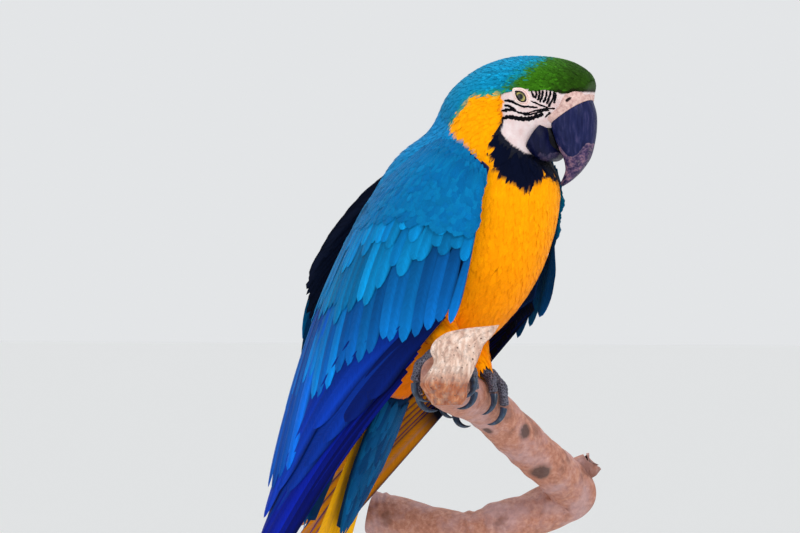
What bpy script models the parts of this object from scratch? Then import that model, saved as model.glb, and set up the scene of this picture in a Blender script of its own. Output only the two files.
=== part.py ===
"""A blue-and-yellow macaw gripping a broken perch on a display stand, at life size.

Metres, +Z up. The origin is the centre of the stand base's underside, on the floor.
The bird faces -Y, so its right side is at -X and its left side at +X.
Bird sizes are given in millimetres from the grip point, where its feet hold the perch:
side is positive to the bird's left, fore is positive forward, rise is positive upward.
"""

import math

import bmesh
import bpy
from mathutils import Matrix, Vector

MM = 0.001
GAP = 0.35  # clearance between neighbouring pieces, mm

# Grip point in the stand's frame, metres
GRIP = Vector((-0.050, -0.050, 0.495))

# Head: it turns to the bird's left about a vertical line through the neck
HEAD_YAW = math.radians(14)
TURN_FORE = 40
TURN_FROM = 140
TURN_TO = 196

# Head reference point: bill, eye and cere are laid out from here, mm ahead and above
HEAD_FORE = 47
EYE_AHEAD = 17.5
EYE_RISE = 215.3
EYE_RADIUS = 7.2
EYE_SUNK = 5.2
EYE_SIDE = 27.3  # half-width of the head at the eye

# Body profile, from the tail root to the cere.
# name: breast-side point (fore, rise), back-side point (fore, rise), half-width
PROFILE = {
    "tail_root": ((-80, -26), (-103, -12), 12),
    "vent": ((-62, -10), (-108, 14), 22),
    "under_belly": ((-28, 15), (-110, 44), 33),
    "belly": ((9, 33), (-107, 76), 43),
    "low_breast": ((40, 57), (-97, 108), 50),
    "mid_breast": ((62, 84), (-82, 134), 52),
    "breast": ((75, 112), (-64, 154), 51),
    "high_breast": ((81, 136), (-47, 171), 48),
    "neck_base": ((82, 152), (-33, 185), 43),
    "neck": ((78, 161), (-17, 203), 37.5),
    "nape": ((74, 166), (2, 223), 34),
    "hind_crown": ((72, 169), (22, 237), 32),
    "crown": ((73, 172), (46, 244.5), 31.5),
    "brow": ((77, 181), (70, 245), 30),
    "fore_crown": ((86, 192), (91, 241.5), 26),
    "forehead": ((97, 202.5), (105, 234), 19),
    "cere": ((106, 210), (111.5, 225), 9.5),
}
RING_POINTS = 20
CHEEK_PINCH = 0.5
PINCH_RISE = (194, 213)
RINGS_PER_SPAN = 2

# Cuts that part the body into its named pieces: profile station and tilt of the cut
HEAD_CUT = ((74, 166), (2, 223))
NECK_CUT = ((82, 148), (-36, 182))
RUMP_CUT = ((-44, 2), (-109, 32))

# Bill: outer and inner edge of each section (ahead, rise) and its half-width
BILL_UPPER = (
    ((61.5, 213), (33.5, 195), 16.2),
    ((64.3, 204), (35.0, 189.5), 15.8),
    ((64.8, 194), (37.0, 183.5), 14.4),
    ((63.6, 183), (39.5, 177.0), 12.2),
    ((60.5, 171.5), (42.2, 170.0), 9.2),
    ((53.8, 162), (42.8, 163.0), 6.3),
    ((46, 155.0), (40.5, 157.5), 3.8),
    ((39.5, 151.0), (37.6, 153.2), 1.5),
)
BILL_FLATNESS = 0.4  # below 1, the sides stay wide towards the cutting edges
BILL_LOWER = (
    ((29, 196), (16.5, 177), 20.4),
    ((32.8, 190.5), (23.5, 171.2), 19.0),
    ((35.5, 184.5), (30.5, 168.8), 15.6),
    ((37.6, 179.5), (36, 170.5), 9.8),
    ((38.8, 176.6), (38.4, 173.6), 5.8),
)

# Wing surface: leading side, spine side and crown of the curve between them, mm
WING_START = ((57, 163), (30, 196), (-20, 184))
WING_END_FRONT = (30, 50)
WING_END_TIP = (-178, -156)
WING_FRONT_VIA = (51, 108)
WING_BACK_VIA = (-128, 100)
WING_SIDE_FRONT = (42, 47, 50)
WING_SIDE_BACK = (22, 24, 27)
WING_CROWN = (9, 26, 12)
WING_THICK = (13, 15, 3.0)
WING_COVERT_END = 0.56
WING_FLIGHT_END = 0.93
LEFT_WING_CROSS = 22  # they also lie over the middle of the back
LEFT_WING_LIFT = 40  # the left wing's long inner feathers stand off the back
WING_SECONDARY_SHARE = 0.58

# Tail: twelve graduated feathers seen as stepped outlines
TAIL_ROOT = (-84, -22)
TAIL_LEAN = math.radians(24)
TAIL_LENGTHS = (482, 430, 375, 322, 272, 225)
TAIL_SPREAD = (0, 4.5, 9, 13.5, 17.5, 21)
TAIL_VANE = 12
TAIL_THICK = 4.0

# Perch: the middle line of the limb (side, fore, rise) and its radius
LIMB = (
    (-66, 35, 15),
    (-27, 12, 4),
    (28, 1, -8),
    (82, -2, -38),
    (126, -3, -62),
    (146, -14, -77),
    (112, -50, -98),
    (94, -76, -103),
    (72, -116, -92),
    (64, -132, -88),
)
LIMB_RADIUS = 16.5
LIMB_SIDES = 12
LIMB_PARTED = 0.61  # share of its length where the limb is parted, past the elbow
LIMB_PART_GAP = 0.0007  # half of the gap there, as a share of its length

# Broken stump: direction of its broad face, then its levels from the bottom as
# place along the face, place square to it, rise, half-width and half-depth
STUMP_FACE = (0.616, 0.788)
STUMP = (
    (-9.5, 84, -4, 11.5, 10),
    (-9.3, 85, 0, 13.2, 12),
    (-12.2, 86, 5.8, 15.5, 15),
    (-12.2, 87, 10, 16.8, 16),
    (-8.2, 88, 17.4, 15.8, 16),
    (-4.0, 88, 25, 15.6, 14),
    (-3.2, 88, 32.3, 18.2, 11),
    (-0.7, 88, 37.7, 18.2, 8.5),
    (4.2, 88, 42, 17.2, 6),
    (8.5, 88, 45, 15.0, 4.5),
    (18.8, 88, 48.6, 7.2, 3),
)
STUMP_TIP = (27.5, 88, 51.5)

# Nub of a lost side branch at the elbow: its two ends and its radii
NUB = ((136, -14, -63), (151, 3, -53))
NUB_RADII = (10.5, 8.5)
NUB_CLEAR = 1.4  # room left for the coarser bark rings about the nub, in mm

# Feet: distance along the limb's middle line to each foot, 0 at its broken end
FOOT_RIGHT_AT = 0.060
FOOT_LEFT_AT = 0.190
TOE_RADIUS = 4.2
# Toes: name, shift along the limb at root and end in mm, wrap in degrees at root and end
TOES = (
    ("inner", -4.9, -8.5, 24, 92),
    ("outer", 4.9, 10.0, 24, 108),
    ("hind_inner", -4.9, -8.0, -24, -80),
    ("hind_outer", 4.9, 9.5, -24, -98),
)
CLAW_RADIUS = 2.7
CLAW_START = 6.5  # degrees past the toe's end where the claw begins
CLAW_SWEEP = 47.0
CLAW_REACH = 56.0
CLAW_ARCH = 2.2
HIP = (25, -24, 66)
SHANK_RADII = (5.6, 6.4, 4.9, 5.0)
THIGH_RADII = (9.5, 15, 19, 20)
KNEE_LEFT = (15, 3, 27)
KNEE_RIGHT = (-38, 19, 42)

# Stand
BASE_RADIUS = 150
BASE_THICK = 10
ROD_RADIUS = 5
ROD_AT = ((98, -70), (121, -41))


def bird(side, fore, rise):
    """A place on the bird or perch, from millimetres about the grip to metres."""
    return GRIP + Vector((side, -fore, rise)) * MM


def smooth(low, high, value):
    """Rises smoothly from 0 at low to 1 at high."""
    t = min(1.0, max(0.0, (value - low) / (high - low)))
    return t * t * (3 - 2 * t)


def turned(side, fore, rise):
    """Turns the head and upper neck to the bird's left."""
    return swung(side, fore, rise, HEAD_YAW * smooth(TURN_FROM, TURN_TO, rise))


def swung(side, fore, rise, angle):
    """A place turned to the bird's left about the upright line through the neck."""
    ahead = fore - TURN_FORE
    new_side = side * math.cos(angle) + ahead * math.sin(angle)
    new_fore = ahead * math.cos(angle) - side * math.sin(angle) + TURN_FORE
    return new_side, new_fore, rise


def on_head(side, ahead, rise):
    """A place laid out from the head reference point, turned rigidly with the head."""
    return bird(*swung(side, HEAD_FORE + ahead, rise, HEAD_YAW))


def material(name, colour, roughness, metallic=0.0):
    """A plain surface colour for one kind of piece."""
    mat = bpy.data.materials.get(name) or bpy.data.materials.new(name)
    mat.use_nodes = True
    shader = mat.node_tree.nodes["Principled BSDF"]
    shader.inputs["Base Color"].default_value = (*colour, 1.0)
    shader.inputs["Roughness"].default_value = roughness
    shader.inputs["Metallic"].default_value = metallic
    return mat


def add_object(name, bm, mat):
    """Makes a finished bmesh into a smooth-shaded object."""
    bmesh.ops.recalc_face_normals(bm, faces=bm.faces)
    mesh = bpy.data.meshes.new(name)
    bm.to_mesh(mesh)
    bm.free()
    mesh.materials.append(mat)
    mesh.shade_smooth()
    mesh.set_sharp_from_angle(angle=math.radians(40))
    obj = bpy.data.objects.new(name, mesh)
    bpy.context.scene.collection.objects.link(obj)
    return obj


def loft(rings, start_point=None, end_point=None):
    """Skins equal rings of points; an end is a point or a flat cap."""
    bm = bmesh.new()
    rows = [[bm.verts.new(p) for p in ring] for ring in rings]
    count = len(rows[0])
    for low, high in zip(rows, rows[1:]):
        for i in range(count):
            j = (i + 1) % count
            bm.faces.new((low[i], low[j], high[j], high[i]))
    for row, point in ((rows[0], start_point), (rows[-1], end_point)):
        if point is None:
            bm.faces.new(row)
            continue
        tip = bm.verts.new(point)
        for i in range(count):
            bm.faces.new((row[i], row[(i + 1) % count], tip))
    return bm


def spline(points, t):
    """A smooth curve through equal tuples of numbers; t runs from 0 to 1."""
    spans = len(points) - 1
    at = min(max(t, 0.0), 1.0) * spans
    i = min(int(at), spans - 1)
    u = at - i
    p1, p2 = points[i], points[i + 1]
    p0 = points[i - 1] if i else [2 * a - b for a, b in zip(p1, p2)]
    p3 = points[i + 2] if i + 2 <= spans else [2 * b - a for a, b in zip(p1, p2)]
    return [
        b + 0.5 * u * (c - a + u * (2 * a - 5 * b + 4 * c - d + u * (3 * (b - c) + d - a)))
        for a, b, c, d in zip(p0, p1, p2, p3)
    ]


def section(breast, back, half_width, points):
    """An oval ring between a breast-side and a back-side point; the cheeks narrow."""
    pinch = CHEEK_PINCH * smooth(*PINCH_RISE, (breast[1] + back[1]) / 2)
    ring = []
    for i in range(points):
        angle = 2 * math.pi * i / points
        share = 0.5 + 0.5 * math.cos(angle)
        fore = breast[0] + (back[0] - breast[0]) * share
        rise = breast[1] + (back[1] - breast[1]) * share
        width = half_width * (1 - pinch * (1 - share) ** 2)
        ring.append((width * math.sin(angle), fore, rise))
    return ring


def body_loft():
    """The whole body as one closed shape, tail root to cere, before it is parted."""
    stations = [(*v, *b, w) for v, b, w in PROFILE.values()]
    spans = (len(stations) - 1) * RINGS_PER_SPAN
    rings = []
    for i in range(spans + 1):
        vf, vr, bf, br, w = spline(stations, i / spans)
        ring = section((vf, vr), (bf, br), w, RING_POINTS)
        rings.append([bird(*turned(*p)) for p in ring])
    first, last = stations[0], stations[-1]
    root = bird(0, (first[0] + first[2]) / 2 - 3, (first[1] + first[3]) / 2 - 4)
    tip = bird(*turned(0, (last[0] + last[2]) / 2 + 2, (last[1] + last[3]) / 2))
    return loft(rings, root, tip)


def keep_between(bm, lower, upper):
    """Keeps the body between two profile cuts, each leaving half a gap."""
    for cut, keep in ((lower, 1), (upper, -1)):
        if cut is None:
            continue
        (vf, vr), (bf, br) = cut
        low = bird(*turned(0, vf, vr))
        high = bird(*turned(0, bf, br))
        across = Vector((1, 0, 0))
        normal = (high - low).cross(across).normalized()
        if normal.z < 0:
            normal.negate()
        place = low + normal * keep * GAP * 0.5 * MM
        geom = bm.verts[:] + bm.edges[:] + bm.faces[:]
        bmesh.ops.bisect_plane(
            bm,
            geom=geom,
            dist=1e-7,
            plane_co=place,
            plane_no=normal,
            clear_inner=keep > 0,
            clear_outer=keep < 0,
        )
        rim = [e for e in bm.edges if e.is_boundary]
        bmesh.ops.holes_fill(bm, edges=rim, sides=0)
    return bm


def cut_by(obj, cutter):
    """Cuts one piece by another shape, which is left out of the model."""
    cutter.hide_render = True
    cutter.display_type = "WIRE"
    mod = obj.modifiers.new("fit", "BOOLEAN")
    mod.operation = "DIFFERENCE"
    mod.solver = "EXACT"
    mod.object = cutter


def grown(name, bm, amount, mat):
    """A cutter: the same shape grown outward by a clearance in mm."""
    bmesh.ops.recalc_face_normals(bm, faces=bm.faces)
    bm.normal_update()
    shifts = [(v, v.normal.copy()) for v in bm.verts]
    for vert, normal in shifts:
        vert.co += normal * amount * MM
    return add_object(name, bm, mat)


def ball(place, radius, segments=10):
    """A round ball at a place in metres, radius in mm."""
    bm = bmesh.new()
    bmesh.ops.create_uvsphere(
        bm, u_segments=segments, v_segments=segments // 2 + 1, radius=radius * MM
    )
    bmesh.ops.translate(bm, verts=bm.verts, vec=place)
    return bm


def bill_shape(sections, points=12):
    """A bill half as a closed shape, from its base ring to its tip; flat-sided behind."""
    rings = []
    for outer, inner, half_width in sections:
        ring = []
        for i in range(points):
            angle = 2 * math.pi * i / points
            share = 0.5 + 0.5 * math.cos(angle)
            swing = math.sin(angle)
            if share > 0.5 and abs(swing) > 0.01:
                swing = math.copysign(abs(swing) ** BILL_FLATNESS, swing)
            ahead = outer[0] + (inner[0] - outer[0]) * share
            rise = outer[1] + (inner[1] - outer[1]) * share
            ring.append(on_head(half_width * swing, ahead, rise))
        rings.append(ring)
    return loft(rings)


def eye_place(hand):
    """Centre of an eyeball; hand is +1 for the bird's left, -1 for its right."""
    return on_head(hand * (EYE_SIDE - EYE_SUNK), EYE_AHEAD, EYE_RISE)


def build_body(mats):
    """Head, neck, trunk and rump, with the sockets the bill and eyes sit in."""
    cuts = {
        "head": (HEAD_CUT, None),
        "neck": (NECK_CUT, HEAD_CUT),
        "trunk": (RUMP_CUT, NECK_CUT),
        "rump": (None, RUMP_CUT),
    }
    pieces = {}
    for name, (lower, upper) in cuts.items():
        bm = keep_between(body_loft(), lower, upper)
        pieces[name] = add_object(name, bm, mats[name])
    guide = mats["guide"]
    for name, sections in (("upper", BILL_UPPER), ("lower", BILL_LOWER)):
        cutter = grown(f"cut_bill_{name}", bill_shape(sections), 2 * GAP, guide)
        cut_by(pieces["head"], cutter)
        if name == "lower":
            cut_by(pieces["neck"], cutter)
    for label, hand in (("left", 1), ("right", -1)):
        socket = add_object(f"cut_eye_{label}", ball(eye_place(hand), EYE_RADIUS + GAP), guide)
        cut_by(pieces["head"], socket)
    return pieces


def build_face(mats):
    """The two halves of the bill and the two eyeballs."""
    add_object("bill_upper", bill_shape(BILL_UPPER), mats["bill"])
    add_object("bill_lower", bill_shape(BILL_LOWER), mats["bill"])
    for label, hand in (("left", 1), ("right", -1)):
        add_object(f"eye_{label}", ball(eye_place(hand), EYE_RADIUS), mats["eye"])


def through(low, middle, high, t):
    """A curve through three numbers, with the middle one reached half way."""
    return low + (high - low) * t + (4 * middle - 2 * low - 2 * high) * t * (1 - t)


def bezier(start, via, end, t):
    """A curve leaving start toward via and reaching end."""
    return tuple((1 - t) ** 2 * a + 2 * t * (1 - t) * b + t * t * c for a, b, c in zip(start, via, end))


def wing_point(a, b, depth, hand):
    """A place on a folded wing: a runs front to back edge, b from shoulder to feather tip."""
    start = bezier(*WING_START, a)
    end = [p + (q - p) * a for p, q in zip(WING_END_FRONT, WING_END_TIP)]
    end[1] += 9 * math.sin(math.pi * a)
    via = [p + (q - p) * a for p, q in zip(WING_FRONT_VIA, WING_BACK_VIA)]
    via[1] += 26 * math.sin(math.pi * a)
    fore, rise = bezier(start, via, end, b)
    lifted = 0.0
    if hand > 0:
        lifted = a**3 * math.sin(math.pi * min(1.0, b * 1.1))
        fore -= LEFT_WING_LIFT * lifted
    front = through(*WING_SIDE_FRONT, b)
    back = through(*WING_SIDE_BACK, b)
    crown = through(*WING_CROWN, b)
    back -= LEFT_WING_CROSS * lifted
    side = front + (back - front) * a + crown * math.sin(math.pi * a) ** 0.8
    thick = through(*WING_THICK, b) * (0.3 + 0.7 * math.sin(math.pi * min(1, a + 0.08)) ** 0.6)
    inward = 0.55 + 0.45 * math.cos(math.pi * a)
    return (
        hand * (side - depth * thick),
        fore + depth * thick * (1 - inward) * 0.8,
        rise - depth * thick * 0.15,
    )


def feather_tips(share, count, length):
    """How far a row of rounded feather tips reaches past its notches."""
    within = (share * count) % 1.0
    return length * math.sqrt(max(0.0, 1 - (2 * within - 1) ** 2))


def wing_piece(name, hand, start, end, columns, rows, a_range, mat):
    """One closed slab of the wing between two lines across its feathers."""
    bm = bmesh.new()
    bmesh.ops.create_grid(bm, x_segments=columns, y_segments=rows, size=0.5)
    made = bmesh.ops.extrude_face_region(bm, geom=bm.faces[:])
    inner = {g for g in made["geom"] if isinstance(g, bmesh.types.BMVert)}
    for vert in bm.verts:
        a = a_range[0] + (a_range[1] - a_range[0]) * (vert.co.x + 0.5)
        b = start(a) + (end(a) - start(a)) * (vert.co.y + 0.5)
        vert.co = bird(*wing_point(a, b, 1.0 if vert in inner else 0.0, hand))
    return add_object(name, bm, mat)


def build_wings(mats):
    """Each folded wing in three pieces: covert mass, secondaries and primaries."""
    gap_b = 0.0022

    def covert_end(a):
        return WING_COVERT_END - 0.10 * a + feather_tips(a, 6, 0.05)

    def covert_start_below(a):
        return covert_end(a) + gap_b

    def secondary_end(a):
        return WING_FLIGHT_END + feather_tips(a, 9, 0.07)

    def primary_end(a):
        return WING_FLIGHT_END + feather_tips(a, 12, 0.07)

    split = WING_SECONDARY_SHARE
    parts = (
        ("coverts", lambda a: 0.0, covert_end, (0.0, 1.0), 18, 7),
        ("secondaries", covert_start_below, secondary_end, (0.0, split), 18, 4),
        ("primaries", covert_start_below, primary_end, (split + 0.003, 1.0), 16, 5),
    )
    cutter = grown("cut_trunk", body_loft(), 3 * GAP, mats["guide"])
    for label, hand in (("left", 1), ("right", -1)):
        for part, start, end, a_range, columns, rows in parts:
            obj = wing_piece(f"wing_{label}_{part}", hand, start, end, columns, rows, a_range, mats[part])
            cut_by(obj, cutter)
    return cutter


def tail_point(across, along, depth):
    """A place on the tail: across from the middle, along from its root, depth forward."""
    camber = across * across * 0.006
    fore = TAIL_ROOT[0] - along * math.sin(TAIL_LEAN) + (depth + camber) * math.cos(TAIL_LEAN)
    rise = TAIL_ROOT[1] - along * math.cos(TAIL_LEAN) - (depth + camber) * math.sin(TAIL_LEAN)
    return across, fore, rise


def tail_half_width(along):
    """Half-width of the closed tail, stepped by its graduated feather tips."""
    width = 1.2
    opened = 0.45 + 0.55 * smooth(0, 130, along)
    for length, spread in zip(TAIL_LENGTHS, TAIL_SPREAD):
        left = length - along
        if left <= 0:
            continue
        vane = TAIL_VANE * math.sqrt(min(1.0, left / 70))
        middle = spread * opened * (0.45 + 0.55 * min(1.0, left / 180))
        width = max(width, middle + vane * (0.55 + 0.45 * opened))
    return width


def tail_rows():
    """Distances along the tail, close together where feathers end."""
    rows = {0.0, 40.0, 90.0, 150.0}
    for length in TAIL_LENGTHS:
        rows |= {length - 34.0, length - 14.0, length - 3.0, length + 1.0}
    rows.discard(TAIL_LENGTHS[0] + 1.0)
    return sorted(rows)


def tail_half(name, hand, mat):
    """The feathers on one side of the tail as one thin closed solid."""
    rings = []
    for along in tail_rows():
        wide = tail_half_width(along)
        thick = TAIL_THICK * (1 - 0.72 * along / TAIL_LENGTHS[0])
        ring = []
        for share in (0.0, 0.5, 1.0):
            ring.append((GAP / 2 + share * wide, thick / 2 * (1 - 0.5 * share)))
        for share in (1.0, 0.5, 0.0):
            ring.append((GAP / 2 + share * wide, -thick / 2 * (1 - 0.5 * share)))
        rings.append([bird(*tail_point(hand * s, along, d)) for s, d in ring])
    return add_object(name, loft(rings), mat)


def covert_blade(name, root, tip, wide, thick, lean, mat):
    """A tapering pad of tail coverts lying along the tail."""
    rings = []
    count = 7
    for i in range(count):
        t = i / (count - 1)
        fore = root[0] + (tip[0] - root[0]) * t
        rise = root[1] + (tip[1] - root[1]) * t
        half = wide * (0.72 + 0.9 * t - 1.42 * t * t)
        deep = thick * (1 - 0.75 * t)
        ring = []
        for k in range(8):
            angle = 2 * math.pi * k / 8
            side = half * math.cos(angle)
            lift = deep * math.sin(angle)
            ring.append(bird(side, fore + lift * math.cos(lean), rise - lift * math.sin(lean)))
        rings.append(ring)
    return add_object(name, loft(rings), mat)


def build_tail(mats, body_cutter):
    """Two halves of the tail and the covert pads above and below its root."""
    for label, hand in (("left", 1), ("right", -1)):
        obj = tail_half(f"tail_{label}", hand, mats["tail"])
        cut_by(obj, body_cutter)
    under = covert_blade("undertail_coverts", (-66, -14), (-111, -104), 21, 7, TAIL_LEAN, mats["undertail"])
    upper = covert_blade("uppertail_coverts", (-106, -2), (-142, -98), 20, 6, TAIL_LEAN, mats["coverts"])
    for obj in (under, upper):
        cut_by(obj, body_cutter)
        for label in ("left", "right"):
            cut_by(obj, bpy.data.objects[f"cut_tail_{label}"])


def limb_point(t):
    """Middle of the limb at a share of its length, metres."""
    return bird(*spline(LIMB, t))


def limb_frame(t):
    """Middle, direction, upward and forward unit vectors of the limb."""
    place = limb_point(t)
    along = (limb_point(min(1, t + 0.01)) - limb_point(max(0, t - 0.01))).normalized()
    up = Vector((0, 0, 1))
    up = (up - along * up.dot(along)).normalized()
    front = along.cross(up).normalized()
    return place, along, up, front


def limb_radius(t):
    """Limb radius with a swollen elbow and a knot; plain where the feet grip."""
    elbow = 2.6 * math.exp(-(((t - 0.54) / 0.05) ** 2))
    return LIMB_RADIUS + elbow


def limb_shape(first=0.0, last=1.0, extra=0.0):
    """The bent limb, or a length of it, as one closed tube."""
    rings = []
    count = round(28 * (last - first)) + 2
    for i in range(count + 1):
        t = first + (last - first) * i / count
        place, along, up, front = limb_frame(t)
        radius = (limb_radius(t) + extra) * MM
        ring = []
        for k in range(LIMB_SIDES):
            angle = 2 * math.pi * k / LIMB_SIDES
            ring.append(place + (up * math.cos(angle) + front * math.sin(angle)) * radius)
        rings.append(ring)
    return loft(rings)


def stump_shape():
    """The splintered stump: a broad broken slab whose upper edge runs to one long splinter."""
    rings = []
    for across, depth, rise, half_width, half_depth in STUMP:
        ring = []
        for k in range(12):
            angle = 2 * math.pi * k / 12
            rough = 1 + 0.05 * math.sin(3 * angle + rise) + 0.04 * math.sin(5 * angle)
            over = across + half_width * rough * math.cos(angle)
            out = depth + half_depth * rough * math.sin(angle)
            ring.append(stump_place(over, out, rise))
        rings.append(ring)
    return loft(rings, None, stump_place(*STUMP_TIP))


def stump_place(across, depth, rise):
    """A place given along and square to the stump's broad face."""
    side = across * STUMP_FACE[0] - depth * STUMP_FACE[1]
    fore = across * STUMP_FACE[1] + depth * STUMP_FACE[0]
    return bird(side, fore, rise)


def build_perch(mats):
    """The limb in two lengths, the broken stump at its upper end and a nub at its elbow."""
    upper_end = LIMB_PARTED - LIMB_PART_GAP
    add_object("perch_limb", limb_shape(0.0, upper_end), mats["bark"])
    add_object("perch_branch", limb_shape(LIMB_PARTED + LIMB_PART_GAP, 1.0), mats["bark"])
    stump = add_object("perch_stump", stump_shape(), mats["wood"])
    centres = [bird(*place) for place in NUB]
    nub = add_object("perch_nub", tube(centres, NUB_RADII, 10), mats["bark"])
    cut_by(stump, add_object("cut_limb", limb_shape(extra=GAP), mats["guide"]))
    cut_by(nub, add_object("cut_elbow", limb_shape(extra=NUB_CLEAR), mats["guide"]))


def tube(centres, radii, sides, tip=None):
    """A tapering bent rod with flat ends, or with a point at its far end."""
    rings = []
    total = len(centres)
    side = None
    for i, (place, radius) in enumerate(zip(centres, radii)):
        before = centres[max(0, i - 1)]
        after = centres[min(total - 1, i + 1)]
        along = (after - before).normalized()
        if side is None:
            side = along.orthogonal().normalized()
        side = (side - along * side.dot(along)).normalized()
        other = along.cross(side)
        ring = []
        for k in range(sides):
            angle = 2 * math.pi * k / sides
            ring.append(place + (side * math.cos(angle) + other * math.sin(angle)) * radius * MM)
        rings.append(ring)
    return loft(rings, None, tip)


def toe_centre(frame, side_shift, angle, radius):
    """A place over the limb, wrapped forward by an angle and set along it in mm."""
    place, along, up, front = frame
    reach = (LIMB_RADIUS + GAP + 0.4 + radius) * MM
    return place + along * side_shift * MM + (up * math.cos(angle) + front * math.sin(angle)) * reach


def toe_shape(frame, root, end, first, last):
    """One toe, wrapped about the limb from its root to its last joint."""
    centres, radii = [], []
    for i in range(7):
        t = i / 6
        radius = TOE_RADIUS * (1 - 0.24 * t + 0.07 * math.cos(t * 4 * math.pi))
        shift = root + (end - root) * t
        angle = math.radians(first + (last - first) * t)
        centres.append(toe_centre(frame, shift, angle, radius))
        radii.append(radius)
    return tube(centres, radii, 7)


def claw_shape(frame, end, last):
    """The hooked claw that carries a toe's line on round the limb."""
    sign = 1 if last > 0 else -1
    centres, radii = [], []
    for i in range(6):
        t = i / 6
        radius = CLAW_RADIUS * (1 - t) ** 0.7
        angle = math.radians(last + sign * (CLAW_START + CLAW_SWEEP * t))
        lift = 1.0 + CLAW_ARCH * math.sin(math.pi * t)
        centres.append(toe_centre(frame, end, angle, radius + lift))
        radii.append(radius)
    tip_angle = math.radians(last + sign * CLAW_REACH)
    return tube(centres, radii, 6, toe_centre(frame, end, tip_angle, 0.8))


def build_foot(label, at, mats):
    """Four toes wrapped round the limb, two before and two behind, each with a claw."""
    frame = limb_frame(at)
    for name, root, end, first, last in TOES:
        toe = toe_shape(frame, root, end, first, last)
        add_object(f"toe_{name}_{label}", toe, mats["scales"])
        add_object(f"claw_{name}_{label}", claw_shape(frame, end, last), mats["claw"])
    return frame


def build_leg(label, hand, frame, mats, cutter):
    """The scaly shank rising from the foot and the feathered thigh above it."""
    knee = bird(*(KNEE_LEFT if hand > 0 else KNEE_RIGHT))
    hip = bird(hand * HIP[0], HIP[1], HIP[2])
    sole = toe_centre(frame, 0, 0, 0.4)
    ankle = toe_centre(frame, 0, 0, 5.5)
    shank = [sole, ankle, ankle + (knee - ankle) * 0.6, knee]
    obj = add_object(f"shank_{label}", tube(shank, SHANK_RADII, 8), mats["scales"])
    cut_by(obj, cutter)
    above = knee + (hip - knee).normalized() * (GAP + 0.2) * MM
    thigh = [above + (hip - above) * (i / 3) for i in range(4)]
    obj = add_object(f"thigh_{label}", tube(thigh, THIGH_RADII, 12), mats["thigh"])
    cut_by(obj, cutter)
    cut_by(obj, grown(f"cut_shank_{label}", tube(shank, SHANK_RADII, 8), GAP, mats["guide"]))


def build_stand(mats):
    """A flat steel base with two rods let into the underside of the perch."""
    bm = bmesh.new()
    bmesh.ops.create_cone(
        bm,
        cap_ends=True,
        segments=40,
        radius1=BASE_RADIUS * MM,
        radius2=BASE_RADIUS * MM,
        depth=BASE_THICK * MM,
    )
    bmesh.ops.translate(bm, verts=bm.verts, vec=(0, 0, BASE_THICK * MM / 2))
    top = BASE_THICK * MM - 1e-5
    rims = [e for e in bm.edges if e.calc_face_angle(0) > 1.0 and min(v.co.z for v in e.verts) > top]
    bmesh.ops.bevel(
        bm,
        geom=rims,
        offset=0.002,
        segments=1,
        profile=0.5,
        affect="EDGES",
        material=-1,
    )
    add_object("stand_base", bm, mats["steel"])
    for number, (side, fore) in enumerate(ROD_AT, 1):
        height = underside(side, fore) + 8
        foot = bird(side, fore, 0)
        foot.z = (BASE_THICK + GAP) * MM
        head = bird(side, fore, height)
        add_object(f"stand_rod_{number}", tube([foot, head], (ROD_RADIUS, ROD_RADIUS), 16), mats["steel"])
        hole = tube([foot, head + Vector((0, 0, GAP * MM))], (ROD_RADIUS + GAP, ROD_RADIUS + GAP), 16)
        cutter = add_object(f"cut_rod_{number}", hole, mats["guide"])
        cut_by(bpy.data.objects["perch_branch"], cutter)


def underside(side, fore):
    """Rise of the limb's underside near a place in plan, mm."""
    best = None
    for i in range(201):
        t = i / 200
        at_side, at_fore, rise = spline(LIMB, t)
        away = math.hypot(at_side - side, at_fore - fore)
        if best is None or away < best[0]:
            best = (away, rise - limb_radius(t))
    return best[1]


def make_materials():
    """Plain colours for every kind of piece."""
    table = {
        "head": ((0.02, 0.30, 0.20), 0.7),
        "neck": ((0.90, 0.42, 0.01), 0.7),
        "trunk": ((0.93, 0.40, 0.01), 0.7),
        "rump": ((0.02, 0.25, 0.45), 0.7),
        "thigh": ((0.90, 0.40, 0.01), 0.7),
        "coverts": ((0.01, 0.20, 0.45), 0.55),
        "secondaries": ((0.01, 0.08, 0.50), 0.5),
        "primaries": ((0.01, 0.03, 0.42), 0.5),
        "tail": ((0.55, 0.30, 0.01), 0.5),
        "undertail": ((0.0, 0.12, 0.24), 0.6),
        "bill": ((0.012, 0.012, 0.03), 0.4),
        "eye": ((0.65, 0.58, 0.20), 0.1),
        "scales": ((0.03, 0.03, 0.05), 0.6),
        "claw": ((0.01, 0.02, 0.04), 0.35),
        "bark": ((0.40, 0.14, 0.07), 0.85),
        "wood": ((0.80, 0.60, 0.40), 0.85),
        "guide": ((0.5, 0.5, 0.5), 0.5),
    }
    mats = {name: material(name, colour, rough) for name, (colour, rough) in table.items()}
    mats["steel"] = material("steel", (0.30, 0.30, 0.31), 0.4, 1.0)
    return mats


def main():
    """Builds the bird, its perch and its stand."""
    for obj in list(bpy.data.objects):
        bpy.data.objects.remove(obj, do_unlink=True)
    mats = make_materials()
    build_body(mats)
    build_face(mats)
    for label, hand in (("left", 1), ("right", -1)):
        guide = tail_half(f"cut_tail_{label}", hand, mats["guide"])
        guide.hide_render = True
        guide.display_type = "WIRE"
    trunk_cutter = build_wings(mats)
    build_tail(mats, trunk_cutter)
    build_perch(mats)
    for label, at, hand in (("left", FOOT_LEFT_AT, 1), ("right", FOOT_RIGHT_AT, -1)):
        frame = build_foot(label, at, mats)
        build_leg(label, hand, frame, mats, trunk_cutter)
    build_stand(mats)


main()
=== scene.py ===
"""The looks of a life-size blue-and-yellow macaw on a broken perch.

Sizes in the shape functions are millimetres from the grip point, where the feet hold the perch:
side is positive to the bird's left, fore is positive forward, rise is positive upward.
"""

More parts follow.
